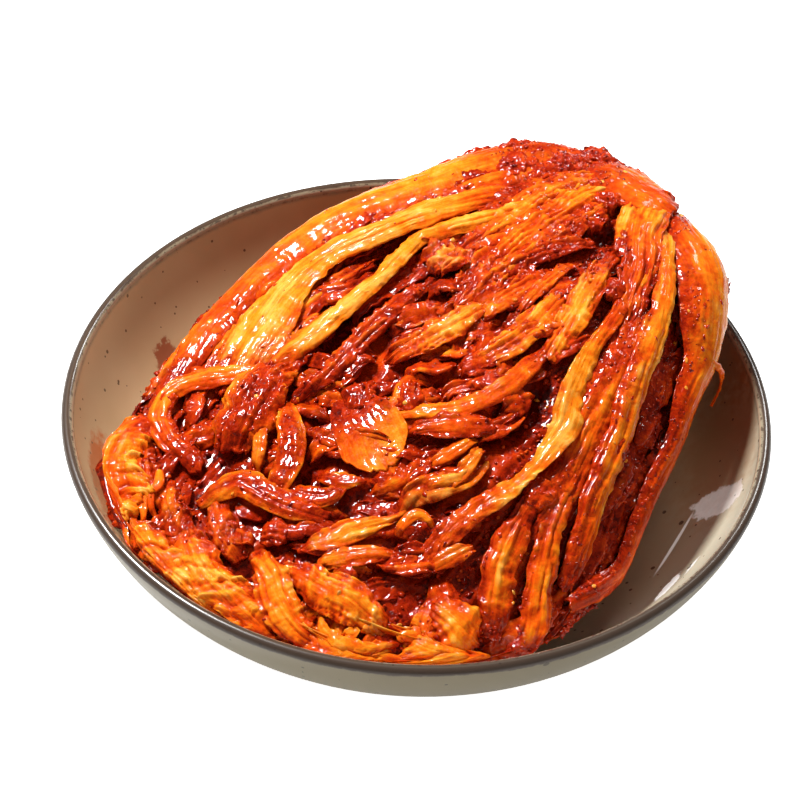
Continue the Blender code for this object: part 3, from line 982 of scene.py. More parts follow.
leftLeaves = [
    # the smooth outer leaf from the root down the left edge
    dict(path=((.10, -.58), (.20, -.73), (.34, -.69), (.45, -.68), (.54, -.75), (.625, -.82), (.71, -.80), (.77, -.80), (.84, -.74),
               (.88, -.70)),
         width=(7, 11, 12, 11.5, 10.5, 10, 9, 8, 7, 4), bend=(0.6, 0.7, 0.8, 0.9), lift=(-1.0, -0.6, 0.6, 1.0, 0.5), dive=1,
         tone=(.50, .40, .33, .32, .40, .5, .6), paste=(.72, .55, .22, .10, .08, .16, .26, .36, .60), pasteSide=0.06,
         ribs=0.03, folds=0.25, ragged=.08, crinkle=.08, hug=True),
    # the second, which opens into a pale fan
    dict(path=((.28, -.45), (.34, -.48), (.42, -.50), (.50, -.54), (.57, -.59), (.62, -.61), (.67, -.60), (.72, -.57), (.77, -.54),
               (.815, -.51)),
         width=(2, 6, 7.5, 7.5, 7.5, 8, 9.5, 12, 14, 11), bend=(0.7, 0.8, 0.5, 0.2), lift=(0.5, 2.2, 2.2, 2.0, 1.5),
         tone=(.45, .28, .22, .20, .20, .34), roll=(0.1, -0.1, 0.0), paste=(.45, .12, .08, .06, .08, .16, .36),
         ribs=0.10, folds=0.6, jag=(3, 8), crinkle=.12, hug=True),
    dict(path=((.26, -.34), (.33, -.35), (.40, -.38), (.45, -.41), (.49, -.43), (.56, -.40), (.62, -.40), (.67, -.40), (.72, -.43),
               (.77, -.43)),
         width=(2, 4.2, 5, 5, 4.6, 4.6, 4.8, 5.4, 6, 6), bend=(0.8, 0.9, 0.8, 0.4), lift=(1.0, 2.8, 2.8, 1.5),
         tone=(.36, .24, .26, .24, .3), folds=0.8, paste=(.4, .12, .12, .12, .3), jag=(3, 9)),
    # the loop at the lower left
    dict(path=((.72, -.40), (.73, -.42), (.76, -.47), (.80, -.56), (.85, -.68), (.875, -.64), (.88, -.54), (.87, -.44), (.87, -.38)),
         width=(2, 4, 5, 5, 4.5, 5, 4.5, 3), bend=0.7, lift=(1.5, 2.5, 2.2, 2.5, 1), tone=(.6, .45, .48, .6),
         paste=(.4, .2, .25, .35), folds=0.8, ragged=.25),
    # a paste-covered cup of leaf with a yellow rim, and the broad ribbon beside it
    dict(path=((.72, -.42), (.76, -.40), (.80, -.38), (.84, -.35)), width=(6, 11, 12, 7), bend=(0.5, 0.7, 0.6),
         lift=(0.5, 3.0, 2.6, 0.5), tone=(.5, .75, .8), edgeTone=-.3, paste=(.35, .60, .55), edgePaste=-.2,
         folds=1.1, crinkle=.5, lumpy=1.4, ragged=.25),
    dict(path=((.775, -.335), (.79, -.32), (.81, -.28), (.835, -.245)), width=(1, 2.4, 2.4, 1), bend=.9,
         lift=(1.5, 3.2, 1), tone=.45, paste=.35, folds=.4),
    dict(path=((.745, -.33), (.76, -.27), (.78, -.21), (.81, -.18), (.845, -.18)), width=(2, 4.2, 5, 5.2, 4.2),
         bend=(0.3, 0.2), lift=(1.5, 4.0, 4.0, 3.0), tone=(.45, .6, .5), edgeTone=-.25, paste=(.3, .5, .3),
         edgePaste=-.3, thick=1.6, folds=.6, jag=(2, 2)),
    dict(path=((.50, -.31), (.52, -.30), (.62, -.29), (.68, -.28), (.75, -.31)), width=(2, 5, 5.5, 5, 2.5), bend=0.9,
         lift=(0.5, 2, 1.5), tone=.75, paste=(.55, .6, .65), folds=1.1, crinkle=.5),
]

rightLeaves = [
    # the broad outer leaf from the root round the right edge
    dict(path=((.05, .05), (.08, .16), (.15, .44), (.22, .60), (.30, .71), (.38, .79), (.46, .80), (.54, .85), (.62, .85),
               (.70, .91), (.77, .98), (.83, .91), (.88, .78)),
         width=(4, 10, 13, 13.5, 12, 9, 7, 6, 5.5, 5, 5, 5, 3.5), bend=(0.6, 0.8, 1.1, 1.2), lift=(0, .4, .8, .6, .8),
         tone=(.5, .36, .34, .52, .62, .62, .66), paste=(.45, .18, .22, .40, .46, .36, .38), dive=1, pasteSide=-0.24, toneSide=-.10,
         ribs=0.04, folds=0.4, ragged=.08, crinkle=.10, fine=.52, hug=True),
    dict(path=((.08, .02), (.12, .10), (.18, .23), (.26, .35), (.34, .42), (.45, .47), (.56, .53), (.67, .58), (.78, .65), (.85, .71)),
         width=(1, 2.2, 3.4, 4.6, 5.4, 5.6, 5.5, 5, 4.5, 3), bend=(0.9, 0.8, 0.7), lift=(0.5, 2.5, 2, 1.5),
         tone=(.15, .24, .38, .5, .58), edgeTone=-0.15, paste=(.15, .15, .3, .4, .45), pasteSide=-0.25, folds=.7, hug=True),
    # the red leaf between that one and the twisted strand
    dict(path=((.30, .28), (.38, .36), (.46, .40), (.55, .43), (.64, .46), (.71, .47), (.78, .48)),
         width=(3, 6, 8, 8.5, 8, 7, 4), bend=(.5, .5), lift=(-.5, .8, .8, 0), tone=(.6, .5, .48, .62), paste=(.55, .45, .38, .5),
         pasteSide=-.15, hug=True, ribs=.14, folds=.9, crinkle=.35),
    # the twisted strand down the middle
    dict(path=((.28, .19), (.29, .20), (.37, .26), (.45, .27), (.54, .31), (.60, .35), (.69, .33), (.77, .26), (.86, .26)),
         width=(1.5, 2.6, 3.2, 4.8, 5.2, 3.4, 4.2, 4.2, 5.5), bend=(0.8, 0.5, 0.6, 0.4), roll=(0, 0.1, 0.3, -0.5, -0.2, 0.1),
         lift=(1.5, 3, 3.2, 3, 2.0), tone=(.48, .40, .36, .42, .52), paste=(.3, .16, .14, .24, .4), edgeTone=-.12,
         jag=(2, 8), ruffle=(0.1, 0.5, 0.2), folds=0.5, ragged=.2),
    # the fibrous bases of the leaves below the cut stem
    dict(path=((.12, -.20), (.165, -.10), (.21, -.01), (.26, .06)), width=(3, 3.4, 3, 1.2), bend=.6, lift=(1.5, 2.2, 1.8),
         tone=(.3, .14, .4), paste=(.3, .15, .35), ribs=.2),
    dict(path=((.08, -.14), (.14, -.01), (.20, .09), (.26, .19), (.33, .26), (.40, .31)), width=(6, 8, 8, 7.5, 6, 3),
         bend=(.3, .4), lift=(1, 1.8, 1.6, 1), tone=(.45, .45, .55, .65), paste=(.2, .25, .4, .5), ribs=.34, folds=.8),
    dict(path=((.26, .06), (.27, .07), (.32, .09), (.42, .14), (.50, .16)), width=(2, 5, 5.6, 3.8), bend=.4, lift=(1, 2.5, 2),
         tone=(.4, .32, .4), paste=(.4, .25, .3), crinkle=0.7, folds=1.1),
    dict(path=((.42, .24), (.45, .20), (.50, .17)), width=(1.5, 4, 2), bend=.4, lift=(1, 2), tone=.55, paste=.3, crinkle=.5),
    dict(path=((.32, -.03), (.34, -.03), (.42, -.02), (.48, -.02)), width=(1.5, 3, 2.8, 1), bend=.6, lift=(1, 2.6, 2),
         tone=.42, paste=.3, jag=(2, 6), crinkle=.4),
    dict(path=((.37, .04), (.39, .04), (.47, .05), (.51, .04), (.56, .00)), width=(2, 5, 6, 6, 4), lift=(1, 2.5, 2),
         bend=0.4, tone=(.42, .34, .36), paste=(.4, .25, .25), folds=1.2, crinkle=.5),
    dict(path=((.47, .14), (.53, .14), (.57, .13), (.62, .07), (.65, .00), (.69, -.10)), width=(2, 4, 4.4, 3.6, 2.6, 1),
         lift=(1, 3, 2.8, 1.5), bend=.8, tone=(.45, .34, .34, .3), paste=(.3, .2, .15), folds=.8),
    dict(path=((.18, .17), (.25, .24), (.32, .27)), width=(1.5, 2.4, 1.2), lift=(1, 2.5), tone=.2, paste=.2),
    # two leaves that end in the frills at the front
    dict(path=((.62, .46), (.69, .48), (.74, .50), (.79, .54), (.86, .61), (.93, .71), (.97, .80)), width=(.8, 2.4, 4.4, 5.2, 5.4, 5, 3),
         bend=(.8, 0.5), lift=(0, 1.8, 2.4, 2), tone=(.42, .36, .38, .48), paste=(.5, .3, .2, .32), folds=.9, ribs=.05, ragged=.3,
         crinkle=.35),
    dict(path=((.64, .40), (.70, .40), (.76, .41), (.82, .44), (.88, .50), (.95, .59)), width=(.8, 3, 5, 6, 6, 3), bend=(.7, 0.4),
         lift=(0, 1.6, 2.2, 2), tone=(.55, .46, .5), paste=(.5, .36, .34), folds=.9, ribs=.05, ragged=.3, crinkle=.35),
    # a shred of radish that hangs over the right edge
    dict(path=((.35, .68), (.37, .76), (.365, .90), (.355, 1.04), (.36, 1.12)), width=(.8, 1.7, 1.9, 1.5, .7), bend=1.2,
         lift=(2.5, 4.5, 4.5, 3.5), tone=.52, paste=.1, folds=.2, dive=0, step=.6),
]

broadLeaves = [
    # wide soft surfaces between the ridges
    dict(path=((.15, -.33), (.21, -.30), (.28, -.25), (.36, -.22), (.44, -.20), (.52, -.18)), width=(8, 12, 14, 14, 12, 7),
         bend=(.35, .25), lift=(1.4, 1.8, 1.2, .2), tone=(.38, .44, .5, .6), paste=(.25, .34, .38, .46), ribs=.3, folds=1.2, crinkle=.6, dive=.6, jag=(1, 8)),
    dict(path=((.14, -.46), (.21, -.42), (.28, -.38), (.35, -.35), (.43, -.33), (.49, -.33)), width=(5, 8, 9, 8, 6, 3),
         bend=(.4, .3), lift=(1.4, 2.2, 1.4, 0), tone=(.42, .38, .5, .6), paste=(.3, .28, .38, .5), ribs=.25, folds=1.0, crinkle=.5, dive=.6, jag=(1, 6)),
    dict(path=((.12, -.52), (.18, -.58), (.27, -.60), (.37, -.60), (.47, -.61), (.58, -.66)), width=(6, 9, 10, 10, 8, 4),
         bend=(.2, .1), lift=(.6, 1.2, .8, -.4), tone=(.6, .52, .56, .66), paste=(.5, .42, .38, .5), ribs=.1, folds=1.0,
         crinkle=.4, hug=True),
    dict(path=((.22, -.40), (.32, -.42), (.42, -.44), (.52, -.47)), width=(3, 6, 6, 3), bend=(-.2, .3), lift=(-1, -.4, -1),
         tone=(.7, .6, .7), paste=(.55, .45, .5), folds=1.0, hug=True),
    dict(path=((.18, .24), (.30, .33), (.45, .38), (.60, .43), (.75, .48), (.86, .54)), width=(3, 6, 9, 9, 8, 5), bend=(.3, .4),
         lift=(-2.5, -1.8, -1.6, -1.2), tone=(.7, .62, .62, .7), paste=(.5, .5, .45, .5), pasteSide=-.1, hug=True, ribs=.2, folds=1.0),
    dict(path=((.30, .50), (.45, .58), (.60, .64), (.75, .74), (.85, .80)), width=(3, 6, 7, 7, 5), bend=(.2, .4),
         lift=(-4, -3.5, -3, -2), tone=(.85, .8, .85), paste=(.55, .55, .55), folds=1.0, hug=True),
    dict(path=((.62, -.84), (.72, -.86), (.80, -.84), (.88, -.86)), width=(3, 6, 7, 5), bend=(.5, .3), lift=(-1, .5, 0),
         tone=(.5, .35, .4), paste=(.3, .2, .25), ruffle=(.2, .8, 1), folds=1.0, hug=True),
    dict(path=((.55, -.50), (.66, -.53), (.76, -.55), (.82, -.52)), width=(3, 6, 7, 5), bend=(.4, .2), lift=(-1, .3, -.5),
         tone=(.5, .4, .4), paste=(.4, .3, .3), folds=1.2, hug=True, jag=(2, 9)),
    dict(path=((.84, .30), (.88, .36), (.93, .40), (.97, .42)), width=(3, 6, 8, 6), bend=(.5, .2), lift=(-1, .5, 0),
         tone=(.5, .4, .35), paste=(.35, .25, .2), pleat=(.3, 1.0), ruffle=(.2, 1.1), hug=True),
    dict(path=((.86, .72), (.91, .70), (.955, .66)), width=(3, 5, 5), bend=(.8, .4), lift=(-1, .5, 0), tone=(.5, .45),
         paste=(.35, .3), folds=1.0, hug=True),
]

innerLeaves = [
    dict(path=((.45, -.10), (.50, -.12), (.55, -.14), (.60, -.17), (.64, -.20)), width=(1.5, 4.5, 6.5, 5, 1.5), bend=.3,
         lift=(1, 2.6, 2), tone=(.46, .38, .46), paste=(.36, .26), crinkle=0.5, folds=1.1, ragged=.35, jag=(3, 8)),
    dict(path=((.36, -.06), (.44, -.08), (.50, -.10)), width=(2, 5.5, 3.5), bend=.3, lift=(1, 2.2), tone=.48, paste=.42,
         crinkle=0.5, folds=1.0, ragged=.35),
    # the smooth rounded tongue in the middle
    dict(path=((.69, -.20), (.70, -.15), (.71, -.09), (.725, -.03), (.735, .02)), width=(6, 10, 12, 12, 6), lift=(1, 3.5, 4, 3, 2),
         bend=(-0.3, -0.25), tone=(.6, .5, .35, .36), edgeTone=.1, paste=(.75, .5, .12, .05), edgePaste=-.1, thick=2.2,
         ribs=.02, folds=.12, crinkle=.10, ragged=.08, dive=0, hug=True),
    dict(path=((.69, -.02), (.68, .00), (.65, .07), (.62, .18)), width=(1.5, 4.5, 5, 3), bend=.5, lift=(2, 3.5, 3), tone=.6,
         paste=.45, jag=(3, 3), folds=1.0),
    dict(path=((.71, .09), (.68, .12), (.64, .15)), width=(1, 3, 1.5), bend=.5, lift=(2, 3), tone=.42, paste=.25),
    dict(path=((.73, .17), (.69, .18), (.65, .18)), width=(1, 2.8, 1.5), bend=.5, lift=(2, 3), tone=.32, paste=.25),
    # ribbons with red faces and orange rims
    dict(path=((.90, -.33), (.87, -.29), (.85, -.25), (.84, -.16), (.83, -.07), (.82, -.01)), width=(2, 5, 5.5, 5, 4.5, 2),
         lift=(1, 3.2, 3, 2), bend=(.5, .3), tone=(.45, .55, .6), edgeTone=-.25, paste=(.3, .5, .5), edgePaste=-.25, thick=1.5, folds=.6),
    dict(path=((.83, -.19), (.82, -.11), (.80, -.05), (.775, -.05)), width=(2, 4, 4, 2), lift=(1, 2.8), bend=.4, tone=.55,
         edgeTone=-.2, paste=.45, edgePaste=-.2, thick=1.4, folds=.7),
    dict(path=((.79, -.12), (.78, -.05), (.76, .00)), width=(1.5, 3.6, 1), lift=(1, 2.8), bend=.4, tone=.5, edgeTone=-.2,
         paste=.4, edgePaste=-.2, folds=.7),
    # the flat yellow leaves under the tongue, and a curl beside them
    dict(path=((.77, .12), (.79, .11), (.82, .06), (.85, .02), (.88, -.03)), width=(.8, 2.4, 4.6, 4.0, .8), bend=.3, lift=(1, 2.4),
         tone=(.42, .28, .4), paste=(.4, .16, .4), folds=.9, ragged=.3),
    dict(path=((.84, .12), (.86, .07), (.88, .03)), width=(1.5, 3.6, 1.5), bend=.4, lift=(1, 2.6), tone=.36, paste=.25),
    dict(path=((.81, .16), (.80, .15), (.78, .16), (.78, .19), (.79, .22)), width=(1.2, 2, 2.2, 2, 1), bend=.8, lift=(2, 3.5, 3),
         tone=.35, paste=.2, folds=.3, step=.5),
    dict(path=((.88, .04), (.85, .10), (.83, .19)), width=(1.5, 3.8, 1.5), bend=.4, lift=(1, 2.6), tone=.38, paste=.3),
    dict(path=((.84, .27), (.82, .30), (.79, .34)), width=(1.5, 3.6, 1.5), bend=.4, lift=(2, 3), tone=.32, paste=.25),
    dict(path=((.43, -.33), (.46, -.31), (.51, -.30)), width=(4, 7.5, 3.5), lift=(2, 4, 2), bend=(-.3, .4), tone=(.4, .3),
         paste=.4, crinkle=1.0, folds=1.2, jag=(4, 5)),
    dict(path=((.26, -.06), (.28, -.07), (.35, -.14), (.43, -.18), (.48, -.21)), width=(2, 5, 5.4, 4.4, 2), bend=.5,
         lift=(.5, 2.2, 1.5), tone=.58, paste=(.5, .45, .45), folds=1.2, crinkle=.6),
    dict(path=((.22, -.32), (.26, -.33), (.33, -.35), (.39, -.34), (.45, -.36)), width=(2, 4.2, 4.4, 4, 2), bend=.6,
         lift=(.5, 2.6, 1.8), tone=(.35, .3, .45), paste=(.3, .25, .4), folds=1.0, crinkle=.5),
    # the cut end of the stem
    dict(path=((.17, -.58), (.13, -.42), (.11, -.27), (.085, -.12), (.06, .05)), width=(5, 12, 13, 12, 7), bend=(.4, .3),
         lift=(1.4, 2.2, 2.2, 1.8), tone=(.58, .50, .44, .42, .46), paste=(.75, .50, .24, .16, .30), thick=3.5, ribs=0, folds=.2,
         crinkle=.25, ragged=.12, dive=.5),
]

pasteClumps = [
    # heaps of paste along the inner side of the left-hand leaf and round the cut stem
    dict(path=((.15, -.52), (.20, -.56), (.26, -.60)), width=(4, 6.5, 4)),
    dict(path=((.24, -.60), (.29, -.62), (.34, -.62)), width=(4, 6, 3.5)),
    dict(path=((.21, -.50), (.25, -.51), (.30, -.53)), width=(3, 4.5, 3)),
    dict(path=((.32, -.63), (.37, -.61), (.43, -.60)), width=(2, 4, 2)),
    dict(path=((.10, -.58), (.13, -.50), (.16, -.42)), width=(3, 5, 3)),
    dict(path=((.055, -.45), (.05, -.25), (.06, -.10)), width=(2, 3.5, 2)),
    dict(path=((.08, -.68), (.13, -.74), (.18, -.76)), width=(3, 5, 3)),
    dict(path=((.22, -.80), (.27, -.78), (.32, -.74)), width=(2, 4, 2)),
    dict(path=((.16, -.30), (.18, -.22), (.20, -.14)), width=(3, 5.5, 3)),
    dict(path=((.17, -.42), (.175, -.36), (.18, -.30)), width=(3, 5, 3)),
    dict(path=((.13, -.30), (.135, -.22), (.14, -.15)), width=(1, 2.2, 1)),
    dict(path=((.20, -.20), (.23, -.16), (.26, -.11)), width=(2, 4.5, 3)),
    dict(path=((.30, .16), (.33, .18), (.36, .20)), width=(2, 3.2, 2)),
    dict(path=((.56, .56), (.60, .54), (.63, .50)), width=(2, 5, 3)),
    dict(path=((.66, .38), (.69, .40), (.73, .42)), width=(2, 5, 3)),
    dict(path=((.66, -.20), (.68, -.17), (.70, -.13)), width=(3, 6, 4)),
    dict(path=((.62, -.12), (.65, -.07), (.67, -.02)), width=(3, 5, 3)),
    dict(path=((.63, -.24), (.66, -.25), (.69, -.24)), width=(2, 4.5, 3)),
    dict(path=((.88, -.14), (.87, -.10), (.86, -.06)), width=(3, 5.5, 3)),
    dict(path=((.76, -.42), (.79, -.40), (.81, -.38)), width=(3, 6, 4)),
    dict(path=((.83, -.70), (.86, -.66), (.88, -.60)), width=(2, 4, 2)),
]
for clump in pasteClumps:
    clump.update(bend=.5, lift=(.2, 1.8, .2), thick=2.5, tone=.50, paste=1.0, ribs=0, folds=.9, crinkle=.5, lumpy=1.9)
    clump.update(ragged=.45, jag=(2, 3), step=.55, edgePaste=0)

strandZones = [
    # along, turn: where strands start; run: change of along and turn over a strand; all lengths in mm
    dict(count=26, along=(.24, .52), turn=(-.42, .14), run=(.10, -.05), width=(3.0, 5.4), lift=(-1.4, 2.0), tone=(.45, .75),
         paste=(.32, .52)),
    dict(count=34, along=(.22, .66), turn=(-.88, -.34), run=(.14, -.01), width=(3.0, 6.0), lift=(-2.8, 0.3), tone=(.45, .85),
         paste=(.36, .60)),
    dict(count=44, along=(.42, .68), turn=(-.30, .22), run=(.09, -.07), width=(2.6, 5.4), lift=(-1.5, 1.8), tone=(.34, .75),
         paste=(.26, .55)),
    dict(count=46, along=(.70, .92), turn=(-.52, .20), run=(-.03, .16), width=(2.6, 5.2), lift=(-2.0, 1.4), tone=(.38, .8),
         paste=(.28, .60)),
    dict(count=46, along=(.25, .80), turn=(.26, .90), run=(.14, .03), width=(3.0, 5.6), lift=(-3.6, -0.8), tone=(.6, .95),
         paste=(.42, .70)),
    dict(count=22, along=(.60, .84), turn=(-.92, -.40), run=(.09, .03), width=(2.8, 5.4), lift=(-1.6, 1.2), tone=(.4, .8),
         paste=(.3, .55), ruffle=(.3, .9)),
]
frillBunches = [
    # crumpled leaf tips along the front, from the left to the right
    dict(path=((.875, -.66), (.915, -.72), (.945, -.73), (.960, -.66), (.965, -.57)), width=(5, 9, 10, 9, 5), lift=(.5, 2.6, 2.8, 1.8, .5),
         pleat=1.4, lean=.9, tone=(.66, .54, .5, .58)),
    dict(path=((.965, -.58), (.955, -.52), (.945, -.45)), width=(3, 7, 4), lift=(1, 3, 1), pleat=1.1, pleatWave=2.4, tone=.36),
    dict(path=((.968, -.56), (.962, -.42), (.962, -.30), (.968, -.18), (.975, -.06)), width=(3, 5.5, 6.5, 6, 4), lift=(0, 2.2, 2.6, 2.6, 1),
         pleat=1.3, pleatWave=4.2, lean=-1.1, tone=(.5, .42, .4)),
    dict(path=((.92, -.32), (.945, -.20), (.962, -.07), (.975, .04), (.983, .12)), width=(4, 8, 9.5, 8, 5), lift=(0, 1.8, 2.8, 2.4, 1),
         pleat=1.5, pleatWave=4.6, lean=-.8, tone=(.56, .44, .4)),
    dict(path=((.895, -.12), (.915, -.03), (.938, .03), (.965, .12), (.985, .26)), width=(3, 6, 6.5, 6, 4), lift=(0, 2.6, 3.0, 2.6, 1),
         pleat=.6, folds=1.1, ribs=.1, tone=(.56, .42, .4)),
    dict(path=((.897, -.02), (.905, .08), (.912, .17), (.93, .25), (.95, .32)), width=(3, 7, 8, 7, 4), lift=(0, 1.8, 2.2, 2.2, 1),
         pleat=1.2, pleatWave=3.6, lean=.7, tone=(.5, .42, .38)),
    dict(path=((.973, .12), (.983, .29), (.983, .42), (.980, .54)), width=(4, 6.5, 6.5, 4), lift=(0, 1.8, 2.0, .5), pleat=1.4,
         pleatWave=4.2, lean=.8, tone=.36),
    dict(path=((.935, .12), (.955, .17), (.968, .24), (.968, .31), (.955, .36)), width=(1, 2.2, 2.4, 2.2, 1), lift=(2, 4.2, 4.2, 3), pleat=0,
         folds=.5, tone=.28),
    dict(path=((.950, .20), (.965, .25), (.975, .33), (.970, .40)), width=(1, 2.2, 2.2, 1), lift=(2, 4.0, 3.6, 2), pleat=0, folds=.5, tone=.26),
    dict(path=((.94, .34), (.963, .46), (.973, .62), (.975, .80)), width=(4, 7.5, 8, 5), lift=(0, 2.2, 2.2, .5), pleat=1.4, pleatWave=3.8,
         lean=-.8, tone=(.42, .34, .38)),
    dict(path=((.883, .33), (.910, .42), (.943, .52), (.963, .62)), width=(4, 7.5, 8.5, 5), lift=(0, 2.0, 2.2, 1), pleat=.7, folds=1.0,
         ribs=.1, tone=(.52, .44, .44), paste=(.5, .3, .32)),
    dict(path=((.885, -.60), (.905, -.62), (.925, -.55), (.932, -.46)), width=(3, 5, 6, 3), lift=(-.5, 1.0, 1.0, 0), pleat=.9, tone=.5,
         paste=.42),
    dict(path=((.905, -.47), (.925, -.36), (.935, -.24)), width=(3, 6, 4), lift=(-.5, 1.0, 0), pleat=.9, lean=1, tone=.5, paste=.5),
    dict(path=((.88, -.30), (.90, -.22), (.915, -.12)), width=(3, 6, 4), lift=(-.5, 1.2, 0), pleat=.9, lean=1, tone=.46, paste=.42),
]
for bunch in frillBunches:
    bunch.setdefault("paste", (.34, .14, .2, .3))
    bunch.setdefault("folds", .8)
    bunch.setdefault("bend", (.9, .7))
    bunch.update(ragged=.3, crinkle=.28, ruffle=.5, step=.6, jag=(1, 4), hug=True)
frillZones = [
    dict(count=12, along=(.86, .93), turn=(-.90, .70), run=(.085, .03), width=(4.0, 6.6), lift=(-1.6, .6), tone=(.4, .7),
         paste=(.24, .55), ruffle=(.3, .8), pleat=(.6, 1.3), pleatWave=(2.8, 4.2), folds=(.5, 1.0), crinkle=(.04, .15)),
    dict(count=12, along=(.955, .975), turn=(-.80, .60), run=(.010, .15), width=(3.0, 5.0), lift=(-1.6, .6), tone=(.35, .6),
         paste=(.20, .50), ruffle=(.3, .8), pleat=(.8, 1.4), pleatWave=(2.8, 4.2), folds=(.5, 1.0), crinkle=(.04, .15)),
    dict(count=14, along=(.90, .965), turn=(-.70, .60), run=(.03, .08), width=(1.2, 2.2), lift=(1.8, 3.2), tone=(.24, .5),
         paste=(.05, .3), ruffle=(.1, .3), sway=.06, folds=(.2, .4), crinkle=(.02, .1)),
]


def scatterStrands(zones, seed, **common):
    chance = random.Random(seed)
    leaves = []
    for zone in zones:
        ruffle, swing = zone.get("ruffle", (0.2, 0.6)), zone.get("sway", 0.03)
        for _ in range(zone["count"]):
            along, turn = chance.uniform(*zone["along"]), chance.uniform(*zone["turn"])
            stretch = chance.uniform(0.6, 1.35)
            wave = chance.uniform(-swing, swing)
            path = []
            for knot in range(4):
                share = knot / 3 * stretch
                sway = wave * math.sin(knot * 2.1)
                path.append((min(along + zone["run"][0] * share, 0.985), turn + zone["run"][1] * share + sway))
            width, lift = chance.uniform(*zone["width"]), chance.uniform(*zone["lift"])
            leaf = dict(path=path, width=(0.8, width * chance.uniform(0.6, 1.1), width, width * chance.uniform(0.2, 0.8)))
            leaf["lift"] = (lift - 2.0, lift, lift + chance.uniform(-0.5, 0.8), lift - 1.6)
            leaf["bend"] = (chance.uniform(-0.3, 0.8), chance.uniform(-0.4, 0.8))
            leaf["roll"] = (chance.uniform(-0.4, 0.4), chance.uniform(-0.5, 0.5))
            leaf["tone"], leaf["paste"] = chance.uniform(*zone["tone"]), chance.uniform(*zone["paste"])
            leaf["ruffle"] = (0.3, chance.uniform(*ruffle), chance.uniform(*ruffle))
            leaf["wave"], leaf["pleatWave"] = chance.uniform(5.0, 8.5), chance.uniform(*zone.get("pleatWave", (2.6, 4.4)))
            leaf["folds"], leaf["crinkle"] = chance.uniform(*zone.get("folds", (0.8, 1.6))), chance.uniform(*zone.get("crinkle", (0.2, 0.6)))
            leaf["edgeTone"], leaf["lean"] = chance.uniform(-0.1, 0.3), chance.uniform(-0.9, 0.9)
            if "pleat" in zone:
                leaf["pleat"] = (0.2, chance.uniform(*zone["pleat"]), chance.uniform(*zone["pleat"]))
            leaf["jag"] = (chance.uniform(0.5, 3.0), chance.uniform(1.0, 5.0))
            leaves.append({**leaf, **common})
    return leaves


outerLeaves = []
for side in (-1, 1):
    for turn, start, width in ((1.12, .05, 12), (1.34, .03, 16), (1.62, .02, 19)):
        outerLeaves.append(dict(
            path=[(start + (0.94 - start) * k / 6, side * (turn + 0.02 * math.sin(2.2 * k))) for k in range(7)],
            width=(5, width * 0.8, width, width, width * 0.95, width * 0.85, width * 0.5), bend=(0.25, 0.15, 0.3), lift=(-1.5, -2.0, -2.0), hug=True,
            tone=(.5, .35, .45, .6, .6), paste=(.3, .15, .25, .35, .4), ribs=0.3, folds=0.5, thick=(3, 2, 1.2), step=1.3, fine=0.8,
            ruffle=(0, .3, 1.2), wave=12))

print("leaf plans ready")
makeLeafPiece("leftLeaves", leftLeaves, cabbageMaterial, seed=100)
makeLeafPiece("rightLeaves", rightLeaves, cabbageMaterial, seed=200)
makeLeafPiece("pasteClumps", pasteClumps, cabbageMaterial, seed=300)
makeLeafPiece("broadLeaves", broadLeaves, cabbageMaterial, seed=400)
makeLeafPiece("innerLeaves", innerLeaves, cabbageMaterial, seed=700)
strands = scatterStrands(strandZones, 11, step=1.0, fine=0.63)
half = len(strands) // 2
makeLeafPiece("innerStrands", strands[:half], cabbageMaterial, seed=2000)
makeLeafPiece("lowerStrands", strands[half:], cabbageMaterial, seed=5000)
frills = frillBunches + scatterStrands(frillZones, 12, step=0.7, fine=0.5)
makeLeafPiece("frilledTips", frills, cabbageMaterial, seed=9000)
makeLeafPiece("outerLeaves", outerLeaves, cabbageMaterial, seed=12000)

print("leaves laid")


# ---- chili flakes, seeds and garlic on the paste ----

bitKinds = [
    dict(name="chiliFlakes", seed=31, count=1000, size=(0.7, 1.7), flat=0.30, lumpy=0.5, pasteOnly=0.985, sink=0.25, rounds=1),
    dict(name="pasteGrit", seed=32, count=1100, size=(0.45, 0.95), flat=0.75, lumpy=0.4, pasteOnly=0.97, sink=0.35, rounds=1),
    dict(name="chiliSeeds", seed=33, count=16, size=(0.9, 1.3), flat=0.28, lumpy=0.08, pasteOnly=0.6, sink=0.1, rounds=2),
    dict(name="garlicBits", seed=34, count=24, size=(0.5, 1.2), flat=0.6, lumpy=0.5, pasteOnly=0.8, sink=0.2, rounds=2),
]


def makeBitMaterial(name, colours, translucency=0.0):
    material, tree, shader = newMaterial(name)
    place = tree.nodes.new("ShaderNodeTexCoord").outputs["Object"]
    shades = addNode(tree, "ShaderNodeTexNoise", Scale=230.0, Detail=3.0, Roughness=0.7)
    link(tree, place, shades.inputs["Vector"])
    spread = rangeNode(tree, shades.outputs["Fac"], 0.3, 0.7)
    stops = [(position, colour) for position, colour in zip((0.0, 0.5, 1.0), colours)]
    link(tree, rampNode(tree, spread, stops), shader.inputs["Base Color"])
    shader.inputs["Roughness"].default_value = 0.14
    shader.inputs["IOR"].default_value = 1.47
    shader.inputs["Subsurface Weight"].default_value = translucency
    shader.inputs["Subsurface Radius"].default_value = (1.0, 0.5, 0.2)
    shader.inputs["Subsurface Scale"].default_value = 1.0 * mm
    return material


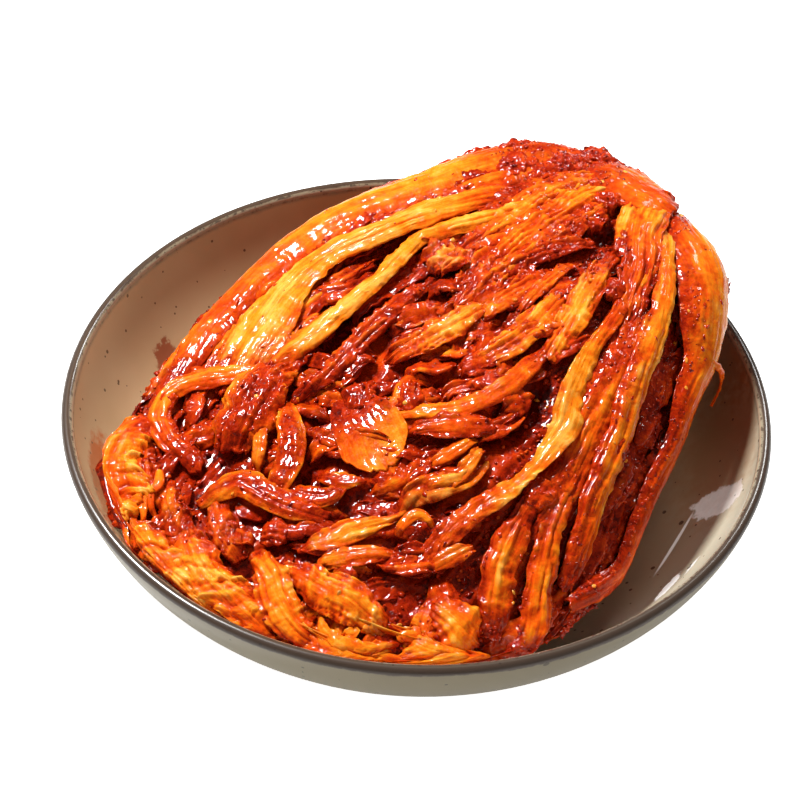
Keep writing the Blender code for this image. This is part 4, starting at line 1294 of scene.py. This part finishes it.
bitMaterials = {
    "chiliFlakes": makeBitMaterial("chiliFlakeSkin", ((0.12, 0.003, 0.001), (0.34, 0.010, 0.001), (0.58, 0.04, 0.003))),
    "pasteGrit": makeBitMaterial("pasteGritSkin", ((0.16, 0.004, 0.001), (0.42, 0.02, 0.002), (0.70, 0.09, 0.006))),
    "chiliSeeds": makeBitMaterial("seedSkin", ((0.80, 0.24, 0.02), (0.86, 0.34, 0.04), (0.88, 0.42, 0.08)), 0.2),
    "garlicBits": makeBitMaterial("garlicFlesh", ((0.78, 0.16, 0.01), (0.84, 0.26, 0.02), (0.88, 0.38, 0.06)), 0.3),
}


def landingSpots(kind, chance, depsgraph):
    # where bits dropped on the head come to rest
    spots = []
    tries = 0
    while len(spots) < kind["count"] and tries < kind["count"] * 12:
        tries += 1
        along, turn = chance.uniform(0.06, 0.975), chance.uniform(-1.0, 1.05)
        start, up = Vector(headPoint(along, turn)), Vector(headNormal(along, turn))
        up = (up + Vector((0, 0, 0.6))).normalized()
        hit, place, normal, face, thing, _ = bpy.context.scene.ray_cast(depsgraph, start + up * 0.02, -up, distance=0.05)
        if not hit or "paste" not in thing.data.attributes:
            continue
        vertex = thing.data.polygons[face].vertices[0]
        cover = thing.data.attributes["paste"].data[vertex].value
        if cover < 0.42 and chance.random() < kind["pasteOnly"]:
            continue
        spots.append((place, normal))
    return spots


def makeBits(kind, depsgraph):
    chance = random.Random(kind["seed"])
    spots = landingSpots(kind, chance, depsgraph)
    template = bpy.data.meshes.new("bitBlank")
    bm = bmesh.new()
    bmesh.ops.create_icosphere(bm, subdivisions=kind["rounds"], radius=1)
    bm.to_mesh(template)
    bm.free()
    ball = coordinatesOf(template)
    bm = bmesh.new()
    for _ in spots:
        bm.from_mesh(template)
    mesh = bpy.data.meshes.new(kind["name"])
    bm.to_mesh(mesh)
    bm.free()
    bpy.data.meshes.remove(template)
    points = np.empty((len(spots), len(ball), 3))
    for number, (place, normal) in enumerate(spots):
        size = chance.uniform(*kind["size"]) * mm
        shape = ball * (1 + kind["lumpy"] * softNoise(ball + number * 7.3, 0.8, kind["seed"]))[:, None]
        shape = shape * np.array([1.0, chance.uniform(0.55, 0.95), kind["flat"]]) * size
        tilt = Vector((chance.gauss(0, 0.35), chance.gauss(0, 0.35), 0)) + normal
        turned = tilt.to_track_quat("Z", "Y").to_matrix() @ Matrix.Rotation(chance.uniform(0, math.tau), 3, "Z")
        points[number] = shape @ np.array(turned).T + np.array(place - normal * kind["sink"] * size)
    placeVertices(mesh, points.reshape(-1, 3))
    piece = newObject(kind["name"], mesh, bitMaterials[kind["name"]])
    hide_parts("kimchi")
    print(kind["name"], len(spots), "bits")


bpy.context.view_layer.update()
landing = bpy.context.evaluated_depsgraph_get()
for bitKind in bitKinds:
    makeBits(bitKind, landing)
